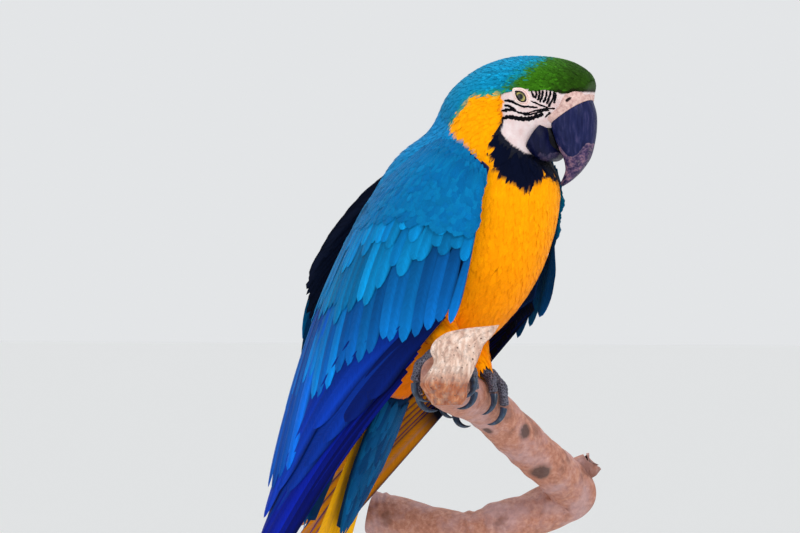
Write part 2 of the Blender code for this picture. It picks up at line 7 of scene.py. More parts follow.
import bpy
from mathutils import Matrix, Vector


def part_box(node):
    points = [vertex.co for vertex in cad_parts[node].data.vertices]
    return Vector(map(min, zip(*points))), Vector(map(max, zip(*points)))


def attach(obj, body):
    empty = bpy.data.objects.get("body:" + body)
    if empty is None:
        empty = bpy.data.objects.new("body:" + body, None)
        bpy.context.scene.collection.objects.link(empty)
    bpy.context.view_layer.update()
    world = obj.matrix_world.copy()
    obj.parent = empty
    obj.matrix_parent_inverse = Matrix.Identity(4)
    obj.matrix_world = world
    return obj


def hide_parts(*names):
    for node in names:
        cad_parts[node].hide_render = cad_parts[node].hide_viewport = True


bl_info = {
    "name": "Macaw on a Perch",
    "version": (1, 0, 0),
    "blender": (4, 5, 0),
    "location": "View3D > Sidebar > Macaw",
    "description": "Builds a blue-and-yellow macaw with laid feathers on a broken branch",
    "category": "Add Mesh",
}

import math

import bmesh
import bpy
import numpy as np
from mathutils import Vector

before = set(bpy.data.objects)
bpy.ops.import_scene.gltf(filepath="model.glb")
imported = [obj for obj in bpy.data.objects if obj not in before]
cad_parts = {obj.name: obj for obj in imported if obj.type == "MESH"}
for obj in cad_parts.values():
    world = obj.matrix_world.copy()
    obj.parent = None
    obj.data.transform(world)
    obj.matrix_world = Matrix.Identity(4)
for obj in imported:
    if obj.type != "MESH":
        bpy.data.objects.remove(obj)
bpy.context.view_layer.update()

MM = 0.001
SIDE = {1: "left", -1: "right"}
GRIP = np.array((-0.050, -0.050, 0.495))
HEAD_YAW = math.radians(14)
TURN_FORE = 40.0
TURN_RISE = (140.0, 196.0)
HEAD_FORE = 47.0
EYE = (22.1, 17.5, 215.3)
EYE_RADIUS = 7.2
IRIS_SPOKES = 31
CHEEK_PINCH = 0.5
PINCH_RISE = (194.0, 213.0)

BARB_SLANT = 1.3  # how steeply the barbs leave the shaft
BARB_DRAW = 0.22  # how far a barb's streak is drawn out along it
SHAFT_SHARE = 0.13  # half-width of the raised shaft as a share of the feather's
PATCH_SIZE = 0.003  # side of one feather's patch on its map
ROW_OVERLAP = 0.86  # distance between rows as a share of the gap between feathers

# Breast-side point (fore, rise), back-side point (fore, rise) and half-width, tail root to cere
PROFILE = np.array(
    (
        (-80, -26, -103, -12, 12),
        (-62, -10, -108, 14, 22),
        (-28, 15, -110, 44, 33),
        (9, 33, -107, 76, 43),
        (40, 57, -97, 108, 50),
        (62, 84, -82, 134, 52),
        (75, 112, -64, 154, 51),
        (81, 136, -47, 171, 48),
        (82, 152, -33, 185, 43),
        (78, 161, -17, 203, 37.5),
        (74, 166, 2, 223, 34),
        (72, 169, 22, 237, 32),
        (73, 172, 46, 244.5, 31.5),
        (77, 181, 70, 245, 30),
        (86, 192, 91, 241.5, 26),
        (97, 202.5, 105, 234, 19),
        (106, 210, 111.5, 225, 9.5),
    ),
    dtype=float,
)

WING_START = ((57, 163), (30, 196), (-20, 184))
WING_END = ((30, 50), (-178, -156))
WING_VIA = ((51, 108), (-128, 100))
WING_SIDE_FRONT = (42, 47, 50)
WING_SIDE_BACK = (22, 24, 27)
WING_CROWN = (9, 26, 12)
LEFT_WING_CROSS = 22
LEFT_WING_LIFT = 40

TAIL_ROOT = (-84, -22)
TAIL_LEAN = math.radians(24)

LIMB = np.array(
    (
        (-66, 35, 15),
        (-27, 12, 4),
        (28, 1, -8),
        (82, -2, -38),
        (126, -3, -62),
        (146, -14, -77),
        (112, -50, -98),
        (94, -76, -103),
        (72, -116, -92),
        (64, -132, -88),
    ),
    dtype=float,
)


# ---------------------------------------------------------------- shape of the bird


LIMB_RADIUS = 16.5
FOOT_AT = {1: 0.190, -1: 0.060}
KNEE = {1: (15, 3, 27), -1: (-38, 19, 42)}
HIP = (25, -24, 66)


def smooth(low, high, value):
    """Rises smoothly from 0 at low to 1 at high."""
    t = np.clip((np.asarray(value, float) - low) / (high - low), 0.0, 1.0)
    return t * t * (3 - 2 * t)


def to_world(points):
    """Millimetres about the grip (side, fore, rise) to metres."""
    out = np.array(points, dtype=float)
    out[..., 1] *= -1
    return out * MM + GRIP


def swung(points, angle):
    """Turns places about the upright line through the neck, toward the bird's left."""
    out = points.copy()
    ahead = out[..., 1] - TURN_FORE
    side = out[..., 0].copy()
    out[..., 0] = side * np.cos(angle) + ahead * np.sin(angle)
    out[..., 1] = ahead * np.cos(angle) - side * np.sin(angle) + TURN_FORE
    return out


def turned(points):
    """Turns the head and upper neck to the bird's left."""
    return swung(points, HEAD_YAW * smooth(*TURN_RISE, points[..., 2]))


def spline(table, t):
    """A smooth curve through the rows of a table; t runs from 0 to 1."""
    t = np.clip(np.asarray(t, float), 0.0, 1.0)
    table = np.vstack((2 * table[0] - table[1], table, 2 * table[-1] - table[-2]))
    at = t * (len(table) - 3)
    i = np.minimum(at.astype(int), len(table) - 4)
    u = (at - i)[..., None]
    a, b, c, d = (table[i + k] for k in range(4))
    return b + 0.5 * u * (c - a + u * (2 * a - 5 * b + 4 * c - d + u * (3 * (b - c) + d - a)))


def body_flat(t, turn):
    """Places on the body before the head is turned; t tail to cere, turn 0 at the back to 1 round."""
    row = spline(PROFILE, t)
    angle = 2 * np.pi * np.asarray(turn, float)
    share = 0.5 + 0.5 * np.cos(angle)
    fore = row[..., 0] + (row[..., 2] - row[..., 0]) * share
    rise = row[..., 1] + (row[..., 3] - row[..., 1]) * share
    middle = (row[..., 1] + row[..., 3]) / 2
    pinch = CHEEK_PINCH * smooth(*PINCH_RISE, middle)
    side = row[..., 4] * (1 - pinch * (1 - share) ** 2) * np.sin(angle)
    return np.stack((side, fore, rise), -1)


def slopes(surface, p, q, step=0.002):
    """Unit normal and the two direction vectors per unit of a surface's own coordinates."""
    dp = (surface(p + step, q) - surface(p - step, q)) / (2 * step)
    dq = (surface(p, q + step) - surface(p, q - step)) / (2 * step)
    normal = np.cross(dq, dp)
    normal /= np.linalg.norm(normal, axis=-1, keepdims=True) + 1e-12
    return normal, dp, dq


def nape_hollow(flat):
    """Depth in mm of the hollow between the hood and the mantle, where the neck bends."""
    level = np.exp(-(((flat[..., 2] - 197) / 15) ** 2))
    return 7.0 * level * smooth(24, -8, flat[..., 1])


def body_at(t, turn, height=0.0):
    """Places on the body, raised by a height in mm, in the bird's millimetres."""
    t = np.clip(t, 0.003, 0.994)
    normal, _, _ = slopes(body_flat, t, turn)
    flat = body_flat(t, turn)
    height = np.asarray(height, float) - nape_hollow(flat)
    return turned(flat + normal * height[..., None])


def bezier(start, via, end, t):
    """A curve from start to end, drawn toward a third value."""
    return (1 - t) ** 2 * start + 2 * t * (1 - t) * via + t * t * end


def through(low, middle, high, t):
    """A parabola through three values at 0, 0.5 and 1."""
    return low + (high - low) * t + (4 * middle - 2 * low - 2 * high) * t * (1 - t)


def wing_at(a, b, height, hand):
    """Places on a folded wing: a front to back edge, b shoulder to feather tip, height outward in mm."""
    a = np.asarray(a, float)
    b = np.asarray(b, float)
    ac = np.clip(a, 0.0, 1.0)
    swell = np.sin(np.pi * ac)
    start = [bezier(*(p[k] for p in WING_START), a) for k in (0, 1)]
    end = [WING_END[0][k] + (WING_END[1][k] - WING_END[0][k]) * a for k in (0, 1)]
    via = [WING_VIA[0][k] + (WING_VIA[1][k] - WING_VIA[0][k]) * a for k in (0, 1)]
    fore = bezier(start[0], via[0], end[0], b)
    rise = bezier(start[1], via[1] + 26 * swell, end[1] + 9 * swell, b)
    front = through(*WING_SIDE_FRONT, b)
    back = through(*WING_SIDE_BACK, b)
    if hand > 0:
        lifted = ac**3 * np.sin(np.pi * np.clip(b * 1.1, 0, 1))
        fore = fore - LEFT_WING_LIFT * lifted
        back = back - LEFT_WING_CROSS * lifted
    side = front + (back - front) * a + through(*WING_CROWN, b) * swell**0.8 + height
    return np.stack((hand * side, fore, rise), -1)


def tail_at(across, along, depth):
    """Places on the tail: across and along in mm, depth forward of its middle sheet."""
    camber = across * across * 0.006
    fore = TAIL_ROOT[0] - along * math.sin(TAIL_LEAN) + (depth + camber) * math.cos(TAIL_LEAN)
    rise = TAIL_ROOT[1] - along * math.cos(TAIL_LEAN) - (depth + camber) * math.sin(TAIL_LEAN)
    return np.stack((across, fore, rise), -1)


# ---------------------------------------------------------------- colours and materials


def linear(code):
    """An sRGB hex colour as linear red, green and blue."""
    values = np.array([int(code[i : i + 2], 16) for i in (1, 3, 5)]) / 255.0
    return np.where(values <= 0.04045, values / 12.92, ((values + 0.055) / 1.055) ** 2.4)


def blend(first, second, amount):
    """Mixes two colours, each a hex code or linear values, by an amount per point."""
    first, second = (linear(c) if isinstance(c, str) else c for c in (first, second))
    amount = np.asarray(amount, float)[..., None]
    return first * (1 - amount) + second * amount


def rgba(code):
    """A hex colour for a node's socket."""
    return (*linear(code), 1.0)


def feed(tree, made, inputs):
    """Links sources to a node's inputs, or sets them to plain numbers and colours."""
    for socket, value in inputs.items():
        if isinstance(value, bpy.types.NodeSocket):
            tree.links.new(value, made.inputs[socket])
        else:
            made.inputs[socket].default_value = value


def node(tree, kind, inputs=None, out=0, **settings):
    """Adds a shader node with its settings and inputs, and gives one of its outputs."""
    made = tree.nodes.new("ShaderNode" + kind)
    for key, value in settings.items():
        setattr(made, key, value)
    feed(tree, made, inputs or {})
    return made.outputs[out]


def new_material(name):
    """A node material and its tree."""
    mat = bpy.data.materials.new(name)
    mat.use_nodes = True
    return mat, mat.node_tree


def ramp(tree, source, stops):
    """A colour ramp through (place, hex colour) stops."""
    colour = node(tree, "ValToRGB", {"Fac": source}, "Color")
    elements = colour.node.color_ramp.elements
    while len(elements) < len(stops):
        elements.new(0.5)
    for element, (place, code) in zip(elements, stops):
        element.position = place
        element.color = rgba(code)
    return colour


def carried(tree, layer="tint"):
    """The colour that each point of a piece carries, or its wear, knots and painted shade."""
    return node(tree, "VertexColor", out="Color", layer_name=layer)


def mixed(tree, kind, amount, first, second):
    """Blends two colours in a given way."""
    return node(tree, "Mix", {0: amount, 6: first, 7: second}, 2, data_type="RGBA", blend_type=kind)


def sums(tree, operation, *values):
    """Works out one number from two or three."""
    return node(tree, "Math", dict(enumerate(values)), operation=operation)


def remapped(tree, value, low, high, to_low=0.0, to_high=1.0):
    """Carries a range of values to another, held at its ends."""
    ends = {"Value": value, "From Min": low, "From Max": high, "To Min": to_low, "To Max": to_high}
    return node(tree, "MapRange", ends)


def grain(tree, scale, detail=3.0, rough=0.55):
    """Noise over the object's own coordinates, in features per metre."""
    coord = node(tree, "TexCoord", out="Object")
    return node(tree, "TexNoise", {"Vector": coord, "Scale": scale, "Detail": detail, "Roughness": rough})


def drawn_grain(tree, scale, detail, rotation=(0.0, 0.0, 0.0)):
    """Noise drawn out into fibres; scale is in features per metre along each way."""
    coord = node(tree, "TexCoord", out="Object")
    placed = node(tree, "Mapping", {"Vector": coord, "Scale": scale, "Rotation": rotation})
    return node(tree, "TexNoise", {"Vector": placed, "Scale": 1.0, "Detail": detail})


def cells(tree, scale):
    """Distance to the edges of a net of cells."""
    coord = node(tree, "TexCoord", out="Object")
    return node(tree, "TexVoronoi", {"Vector": coord, "Scale": scale}, "Distance", feature="DISTANCE_TO_EDGE")


def finished(mat, colour, height=None, distance=0.0, strength=0.0, **settings):
    """Gives a material its colour, its relief (distance in metres) and its plain settings."""
    tree = mat.node_tree
    inputs = {key.replace("_", " "): value for key, value in settings.items()}
    inputs["Base Color"] = colour
    if height is not None:
        relief = {"Height": height, "Distance": distance, "Strength": strength}
        inputs["Normal"] = node(tree, "Bump", relief, "Normal")
    feed(tree, tree.nodes["Principled BSDF"], inputs)
    return mat


def feather_material(name, barb_mm, roughness, sheen, streak):
    """Feather vane: slanting barbs either side of the shaft, over each feather's own colour."""
    mat, tree = new_material(name)
    uv = node(tree, "UVMap", out="UV", uv_map="vane")
    parts = node(tree, "SeparateXYZ", {"Vector": uv}).node.outputs
    aside = sums(tree, "ABSOLUTE", parts["X"])
    slant = sums(tree, "MULTIPLY_ADD", aside, -BARB_SLANT, parts["Y"])
    joined = node(tree, "CombineXYZ", {"X": slant, "Y": aside})
    scaled = node(tree, "Mapping", {"Vector": joined, "Scale": (1.0 / barb_mm, BARB_DRAW, 1.0)})
    barbs = node(tree, "TexNoise", {"Vector": scaled, "Scale": 1.0, "Detail": 2.0})
    fade = remapped(tree, barbs, 0.3, 0.7, 1.0 - streak, 1.0 + 0.6 * streak)
    colour = mixed(tree, "MULTIPLY", 1.0, carried(tree), fade)
    soft = {"Roughness": roughness, "Specular_IOR_Level": 0.03, "Sheen_Weight": sheen, "Sheen_Roughness": 0.4}
    return finished(mat, colour, barbs, 0.0006, 0.55, **soft)


def skin_material():
    """Bare facial skin and the hide under the feathers: fine creases and a faint blush."""
    mat, tree = new_material("macaw_skin")
    blush = ramp(tree, grain(tree, 130), ((0.35, "#E9C4BC"), (0.65, "#FFFAF6")))
    colour = mixed(tree, "MULTIPLY", 0.55, carried(tree), blush)
    soft = {"Subsurface_Weight": 0.05, "Subsurface_Radius": (0.003, 0.0012, 0.0008)}
    soft.update(Roughness=0.55, Specular_IOR_Level=0.15)
    return finished(mat, colour, grain(tree, 900, 4.0), 0.0006, 0.5, **soft)


def bill_material():
    """Black horn with long growth streaks, worn mauve flakes near the cutting edge and a satin gloss."""
    mat, tree = new_material("bill_horn")
    patches = grain(tree, 160, 5.0, 0.65)
    streaks = drawn_grain(tree, (420, 420, 60), 4.0)
    horn = ramp(tree, streaks, ((0.3, "#0A1038"), (0.55, "#181E48"), (0.78, "#3C3860")))
    flaky = ramp(tree, patches, ((0.44, "#15143A"), (0.54, "#4C3A5C"), (0.66, "#8C6A78")))
    cracks = ramp(tree, cells(tree, 120.0), ((0.0, "#8A8A8A"), (0.035, "#000000")))
    flaky = mixed(tree, "MIX", cracks, flaky, rgba("#A88A94"))
    edge = sums(tree, "MULTIPLY", carried(tree, "wear_and_shade"), patches)
    reach = remapped(tree, edge, 0.30, 0.40)
    colour = mixed(tree, "MIX", reach, horn, flaky)
    flake_edge = ramp(tree, reach, ((0.25, "#000000"), (0.5, "#B0B0B0"), (0.75, "#000000")))
    colour = mixed(tree, "MIX", flake_edge, colour, rgba("#A88C98"))
    colour = mixed(tree, "MULTIPLY", 1.0, colour, carried(tree))
    gloss = remapped(tree, patches, 0.0, 1.0, 0.28, 0.55)
    return finished(mat, colour, patches, 0.0011, 0.6, Roughness=gloss, Specular_IOR_Level=0.12)


def cere_material():
    """Pinkish waxy skin at the root of the bill."""
    mat, tree = new_material("cere_skin")
    fine = grain(tree, 420, 5.0)
    colour = ramp(tree, fine, ((0.25, "#A47C78"), (0.5, "#C8A49C"), (0.75, "#DCC0B6")))
    return finished(mat, colour, fine, 0.0008, 0.6, Roughness=0.6)


def eye_material():
    """Glass eye: the rings of the iris are painted by distance from the pupil."""
    mat, tree = new_material("eye_glass")
    rings = ramp(tree, grain(tree, 1500), ((0.3, "#8A8050"), (0.7, "#FFFFFF")))
    colour = mixed(tree, "MULTIPLY", 0.35, carried(tree), rings)
    gloss = {"Roughness": 0.06, "Coat_Weight": 0.35, "Coat_Roughness": 0.02, "Specular_IOR_Level": 0.25}
    return finished(mat, colour, None, 0.0, 0.0, **gloss)


def scale_material():
    """Dry scaly skin of the feet: small raised grey scales with paler edges."""
    mat, tree = new_material("foot_scales")
    scales = cells(tree, 620.0)
    colour = ramp(tree, scales, ((0.02, "#6A6878"), (0.10, "#2E2E40"), (0.4, "#15161F")))
    return finished(mat, colour, scales, 0.0010, 0.7, Roughness=0.5)


def claw_material():
    """Polished dark claw, a little paler along its length."""
    mat, tree = new_material("claw_horn")
    fibre = drawn_grain(tree, (900, 300, 300), 3.0)
    colour = ramp(tree, fibre, ((0.3, "#0E1824"), (0.6, "#233A54"), (0.8, "#3E5A78")))
    return finished(mat, colour, fibre, 0.0003, 0.4, Roughness=0.3)


def bark_material():
    """Weathered bark: pink-brown with lilac-grey bloom, dark stains, knots and fine fissures."""
    mat, tree = new_material("weathered_bark")
    fine = grain(tree, 260, 6.0, 0.65)
    colour = ramp(tree, fine, ((0.25, "#84503E"), (0.5, "#A86E58"), (0.75, "#C2907C")))
    bloom = ramp(tree, grain(tree, 45, 5.0, 0.6), ((0.44, "#000000"), (0.64, "#A0A0A0")))
    colour = mixed(tree, "MIX", bloom, colour, rgba("#B7A3AE"))
    stain = ramp(tree, grain(tree, 42, 4.0, 0.5), ((0.58, "#000000"), (0.66, "#C8C8C8")))
    colour = mixed(tree, "MIX", stain, colour, rgba("#643628"))
    knot = sums(tree, "MULTIPLY", carried(tree, "wear_and_shade"), fine)
    dark = ramp(tree, knot, ((0.10, "#000000"), (0.30, "#F0F0F0")))
    colour = mixed(tree, "MIX", dark, colour, rgba("#3A211C"))
    return finished(mat, colour, fine, 0.0012, 0.6, Roughness=0.62)


def broken_wood_material():
    """Pale splintered wood: cream fibres, orange-brown patches and an orange-brown lower part that is partly
    painted shade, grey crumbs and dark borer specks.
    """
    mat, tree = new_material("broken_wood")
    fibre = drawn_grain(tree, (300, 300, 70), 5.0, (0.5, 0.5, 0.0))
    pale = ramp(tree, fibre, ((0.3, "#B08A7A"), (0.5, "#D8B8A6"), (0.7, "#EAD6CA")))
    orange = ramp(tree, fibre, ((0.3, "#7E3E28"), (0.55, "#AC6642"), (0.75, "#CC926C")))
    orange_and_shade = sums(tree, "ADD", carried(tree, "wear_and_shade"), grain(tree, 55, 4.0, 0.6))
    colour = mixed(tree, "MIX", remapped(tree, orange_and_shade, 0.72, 1.30), pale, orange)
    crumbs = ramp(tree, grain(tree, 230, 6.0, 0.75), ((0.50, "#000000"), (0.56, "#B0B0B0")))
    colour = mixed(tree, "MIX", crumbs, colour, rgba("#8C7A72"))
    specks = ramp(tree, grain(tree, 420, 2.0, 0.5), ((0.66, "#000000"), (0.72, "#FFFFFF")))
    colour = mixed(tree, "MIX", specks, colour, rgba("#4A3026"))
    return finished(mat, colour, fibre, 0.0024, 0.8, Roughness=0.8)


def steel_material():
    """Brushed steel with fine turning marks."""
    mat, tree = new_material("brushed_steel")
    coord = node(tree, "TexCoord", out="Object")
    rings = node(tree, "VectorMath", {0: coord}, "Value", operation="LENGTH")
    marks = node(tree, "TexNoise", {"W": rings, "Scale": 2500.0}, noise_dimensions="1D")
    colour = ramp(tree, marks, ((0.3, "#A6A6A8"), (0.7, "#C9C9CC")))
    return finished(mat, colour, marks, 0.00005, 0.3, Metallic=1.0, Roughness=0.34)


# ---------------------------------------------------------------- markings


# Bare face, seen from the side: mm ahead of the head reference point, and rise
FACE_EDGE = np.array(
    (
        (2.4, 215.1), (4.1, 217.7), (6.7, 219.3), (14.3, 221.2), (20.7, 221.7), (27.1, 221.1), (36, 220.9),
        (40.9, 220.7), (43.5, 219.7), (45.4, 217.8), (47.1, 216.9), (50.6, 218.6), (55, 219.4), (60, 218.6),
        (66, 218.6), (72, 205), (50, 190), (34, 171), (21.2, 174.2), (18.8, 174.9), (15.6, 177.8),
        (12.3, 180.1), (8, 184.5), (5, 187.6), (3.3, 191.1), (4.8, 198.1), (4.2, 202.2), (3.5, 206.1),
        (4.4, 209.7), (5.9, 212), (3.8, 213.4),
    ),
    dtype=float,
)
# Black throat patch in the same measure; the bare face lies over its upper part
BIB_EDGE = np.array(
    (
        (4.6, 201), (1.0, 196), (-2.0, 191), (-3.5, 186), (-3.5, 179), (0.5, 170), (6, 162),
        (12.5, 155), (20, 150), (25, 147), (29, 142.5), (31.5, 148), (35, 152.5), (60, 154), (60, 203),
        (30, 203), (12, 202),
    ),
    dtype=float,
)


def inside(points, outline):
    """True for points within a closed outline, both as pairs."""
    x, y = points[..., 0], points[..., 1]
    hit = np.zeros(x.shape, bool)
    for (x0, y0), (x1, y1) in zip(outline, np.roll(outline, -1, axis=0)):
        crosses = (y0 > y) != (y1 > y)
        with np.errstate(divide="ignore", invalid="ignore"):
            at = (x1 - x0) * (y - y0) / (y1 - y0) + x0
        hit ^= crosses & (x < at)
    return hit


def from_outline(points, outline):
    """Distance in mm from points to the nearest side of an outline."""
    best = np.full(points.shape[:-1], 1e9)
    for a, b in zip(outline, np.roll(outline, -1, axis=0)):
        ab = b - a
        t = np.clip(((points - a) @ ab) / (ab @ ab), 0, 1)
        best = np.minimum(best, np.linalg.norm(points - a - t[..., None] * ab, axis=-1))
    return best


def depth_in(flat, outline):
    """How far inside an outline on the side of the head a point lies, in mm, negative outside."""
    pair = np.stack((flat[..., 1] - HEAD_FORE, flat[..., 2]), -1)
    depth = from_outline(pair, outline)
    return np.where(inside(pair, outline), depth, -depth)


def bare_face(flat):
    """How far inside the bare face a point lies, in mm, negative outside."""
    return depth_in(flat, FACE_EDGE)


def hood_line(fore):
    """Rise of the lower edge of the blue hood and mantle."""
    line = np.where(fore > 25, 217 - (47 - fore) * 0.136, 214 - (25 - fore) * 1.2)
    line = line - 0.8 * np.maximum(0, -30 - fore)
    return np.where(fore > 47, 217 - (fore - 47) * 0.35, line)


def body_colour(flat, rng, feathered=False):
    """The bird's markings over its body, as linear colours, for skin and feathers alike."""
    fore, rise = flat[..., 1], flat[..., 2]
    jitter = rng.normal(0, 1.0, fore.shape)
    crown = fore - (rise - 225) + 3 * jitter
    over_hood = rise - hood_line(fore)
    face = bare_face(flat)
    yellow = blend("#FA9000", "#FFA200", smooth(40, 175, rise + 6 * jitter))
    yellow = blend("#E87400", yellow, smooth(4, 40, rise + 4 * jitter))
    green = blend("#047676", "#32680F", smooth(52, 64, crown))
    green = blend(green, "#22420A", smooth(78, 100, fore + 4 * jitter))
    hood = blend(blend("#0672A8", "#0686B2", smooth(185, 232, rise)), green, smooth(44, 60, crown))
    hood = blend(hood, "#2A9A58", 0.6 * (1 - smooth(0, 7, over_hood)) * smooth(-12, 10, fore))
    blue = smooth(-1.4, 1.4, over_hood + 0.35 * jitter)
    mantle = smooth(-1.5, 1.5, 197.5 - 0.72 * fore - rise + 0.8 * jitter)
    colour = blend(yellow, hood, blue)
    for code, amount in (
        ("#0480BC", mantle * smooth(36, 32, fore) * smooth(140, 150, rise)),
        ("#030920", smooth(-0.3, 0.3, depth_in(flat, BIB_EDGE) + 0.6 * jitter)),
        ("#00668E", smooth(0, 12, -52 - fore) * (1 - blue)),
        ("#120E08", 0.9 * smooth(-3.2, -0.8, face) * smooth(86, 92, fore)),
        ("#DCD0D2", (not feathered) * smooth(-0.2, 0.4, face)),
    ):
        colour = blend(colour, code, amount)
    return colour


# ---------------------------------------------------------------- feathers


def closed_faces(stations, ring):
    """Faces of a tube of rings, closed at its root and drawn to one point at its tip."""
    last = (stations - 1) * ring
    faces = []
    for low in range(0, last, ring):
        for k in range(ring):
            j = (k + 1) % ring
            faces.append((low + j, low + k, low + ring + k, low + ring + j))
    faces += [(last + (k + 1) % ring, last + k, last + ring) for k in range(ring)]
    return faces + [tuple(range(ring))]


def leaf(stations, across, belly, point=0.0, notch=0.0):
    """A closed feather blank: (across -1..1, along 0..1, thickness -1..1) points and its faces.

    belly is where along it is widest, point sharpens the tip and notch frays its edge.
    """
    points = []
    half = (across - 1) / 2
    for i in range(stations):
        y = i / (stations - 0.35)
        past = max(0.0, (y - belly) / (1 - belly))
        tip = math.sqrt(1 - past**2) * (1 - point) + point * (1 - past)
        fray = 1 - notch * (i % 2) * (0.2 + 0.8 * y)
        wide = max(0.12, min(1.0, y / belly) ** 0.55) * tip * fray
        for k in range(across):
            thick = 1.0 if k == half else 0.35 * (0 < k < across - 1)
            points.append(((k - half) / half * wide, y, thick))
        points.append((0.0, y - 0.01, -0.6))
    points.append((0.0, 1.0, 0.0))
    return np.array(points), closed_faces(stations, across + 1)


def quill(stations, across, belly, point):
    """A long feather blank with a full underside: points (x, y, thickness), faces and under mask."""
    points, under = [], []
    half = (across - 1) / 2
    upper_and_lower = [(k, False) for k in range(across)] + [(k, True) for k in range(across - 2, 0, -1)]
    for i in range(stations):
        y = (i / (stations - 0.5)) ** 0.9
        past = (y - belly) / (1 - belly)
        if past < 0:
            wide = 0.45 + 0.55 * math.sin(0.5 * math.pi * y / belly)
        else:
            wide = (1 - point) * math.sqrt(max(0.0, 1 - past**2.4)) + point * (1 - past)
        for k, low in upper_and_lower:
            x = (k - half) / half
            ridge = math.exp(-((x / SHAFT_SHARE) ** 2))
            vane = 1 - x * x
            points.append((x * wide, y, -0.35 * vane - 0.45 * ridge if low else 0.45 * vane + 0.55 * ridge))
            under.append(1.0 if low else 0.35 * (k in (0, across - 1)))
    points.append((0.0, 1.0, 0.0))
    under.append(0.5)
    return np.array(points), closed_faces(stations, 2 * across - 2), np.array(under)


def rim_edges(solid, faces):
    """Table of point pairs that form the thin rim of one blank, from the turn between its faces."""
    owners, normals = {}, []
    for index, face in enumerate(faces):
        ring = solid[list(face)]
        normal = np.cross(ring, np.roll(ring, -1, axis=0)).sum(axis=0)
        normals.append(normal / (np.linalg.norm(normal) + 1e-15))
        for a, b in zip(face, face[1:] + face[:1]):
            owners.setdefault((min(a, b), max(a, b)), []).append(index)
    table = np.zeros((len(solid), len(solid)), bool)
    for (a, b), pair in owners.items():
        if len(pair) == 2 and normals[pair[0]] @ normals[pair[1]] < 0.3:
            table[a, b] = table[b, a] = True
    return table


def volume_of(solids, faces):
    """Signed volume of like closed shapes, which tells which way their faces look."""
    total = 0.0
    for face in faces:
        for b, c in zip(face[1:], face[2:]):
            total += np.einsum("ij,ij->", solids[:, face[0]], np.cross(solids[:, b], solids[:, c]))
    return total


def added(name, mesh, mat, slot, *replaced):
    """Puts a finished mesh into the scene and says what it rides on and replaces; slot is not used."""
    mesh.materials.append(mat)
    obj = bpy.data.objects.new(name, mesh)
    bpy.context.scene.collection.objects.link(obj)
    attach(obj, "root")
    if replaced:
        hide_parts(*replaced)
    return obj


def painted(mesh, colours, layer="tint"):
    """Writes a linear colour, or a grey, to each point of a mesh."""
    rgb = np.ones((len(mesh.vertices), 4), np.float32)
    rgb[:, :3] = np.clip(colours, 0, 1)
    mesh.color_attributes.new(layer, "FLOAT_COLOR", "POINT").data.foreach_set("color", rgb.ravel())


def copies_mesh(name, places, faces, tint, vane, patch, mat, slot, *replaced):
    """One joined mesh of many like feathers: places is (feathers, points, 3) in the bird's mm."""
    count, size, _ = places.shape
    if volume_of(to_world(places[:40]), faces) < 0:
        faces = [face[::-1] for face in faces]
    verts = to_world(places).reshape(-1, 3)
    loops = (np.concatenate(faces)[None, :] + np.arange(count)[:, None] * size).ravel()
    totals = np.tile([len(face) for face in faces], count)
    starts = np.concatenate(([0], np.cumsum(totals)[:-1]))
    mesh = bpy.data.meshes.new(name)
    mesh.vertices.add(len(verts))
    mesh.vertices.foreach_set("co", verts.astype(np.float32).ravel())
    mesh.loops.add(len(loops))
    mesh.loops.foreach_set("vertex_index", loops.astype(np.int32))
    mesh.polygons.add(len(totals))
    mesh.polygons.foreach_set("loop_start", starts.astype(np.int32))
    mesh.update(calc_edges=True)
    mesh.shade_smooth()
    pairs = np.empty(len(mesh.edges) * 2, np.int32)
    mesh.edges.foreach_get("vertices", pairs)
    low, high = pairs.reshape(-1, 2).T % size
    rim = rim_edges(to_world(places[count // 2]) / MM, faces)
    mesh.attributes.new("sharp_edge", "BOOLEAN", "EDGE").data.foreach_set("value", rim[low, high])
    painted(mesh, tint.reshape(-1, 3))
    for title, uv in (("OFBake", patch), ("vane", vane)):
        data = mesh.uv_layers.new(name=title).data
        data.foreach_set("uv", uv.reshape(-1, 2)[loops].astype(np.float32).ravel())
    mesh.uv_layers.active = mesh.uv_layers["OFBake"]
    return added(name, mesh, mat, slot, *replaced)


def coat(name, places, cut, tint, size, root, rng, mat, slot, *replaced):
    """Joins laid feathers into a piece: cut is the blank, size (length, width), root (u, v) on its map."""
    vane = vane_uv(cut[0], *size, rng)
    return copies_mesh(name, places, cut[1], tint, vane, patch_uv(*root, cut[0]), mat, slot, *replaced)


def laid(surface, p0, q0, blank, length, width, lift, base, heading=0.0, sign=-1.0, thick=0.35, camber=0.0):
    """Lays feathers on a surface along its first coordinate, following its curve.

    surface(p, q, height) gives places; length, width, lift and base are mm per feather.
    """
    p0, q0, length, width, lift, base = (v[:, None] for v in (p0, q0, length, width, lift, base))
    x, y, z = blank.T[:, None, :]
    step = 0.003
    at = surface(p0, q0, 0 * p0)
    dp = np.linalg.norm(surface(p0 + step, q0, 0 * p0) - at, axis=-1) / step
    dq = np.linalg.norm(surface(p0, q0 + step, 0 * p0) - at, axis=-1) / step
    heading = np.broadcast_to(np.asarray(heading, float).reshape(-1, 1), p0.shape)
    along = y * length
    aside = x * width / 2
    p = p0 + sign * (along * np.cos(heading) - aside * np.sin(heading)) / np.maximum(dp, 20)
    q = q0 + (aside * np.cos(heading) + along * np.sin(heading)) / np.maximum(dq, 20)
    return surface(p, q, base + lift * np.clip(y, 0, 1) ** 1.5 + thick * z - camber * width * x * x)


def vane_uv(blank, length, width, rng):
    """Barb coordinates in mm across and along, shifted for each feather."""
    shift = rng.uniform(0, 50, (len(length), 1))
    return np.stack((blank[:, 0] * width[:, None] / 2, blank[:, 1] * length[:, None] + shift), -1)


def patch_uv(u, v, blank):
    """Each feather's small patch at its root's place on the unwrapped surface."""
    corner = np.stack((u, v), -1)[:, None, :]
    return np.clip(corner + (blank[None, :, :2] * (0.5, 1.0) - (0.0, 0.5)) * PATCH_SIZE, 0.001, 0.999)


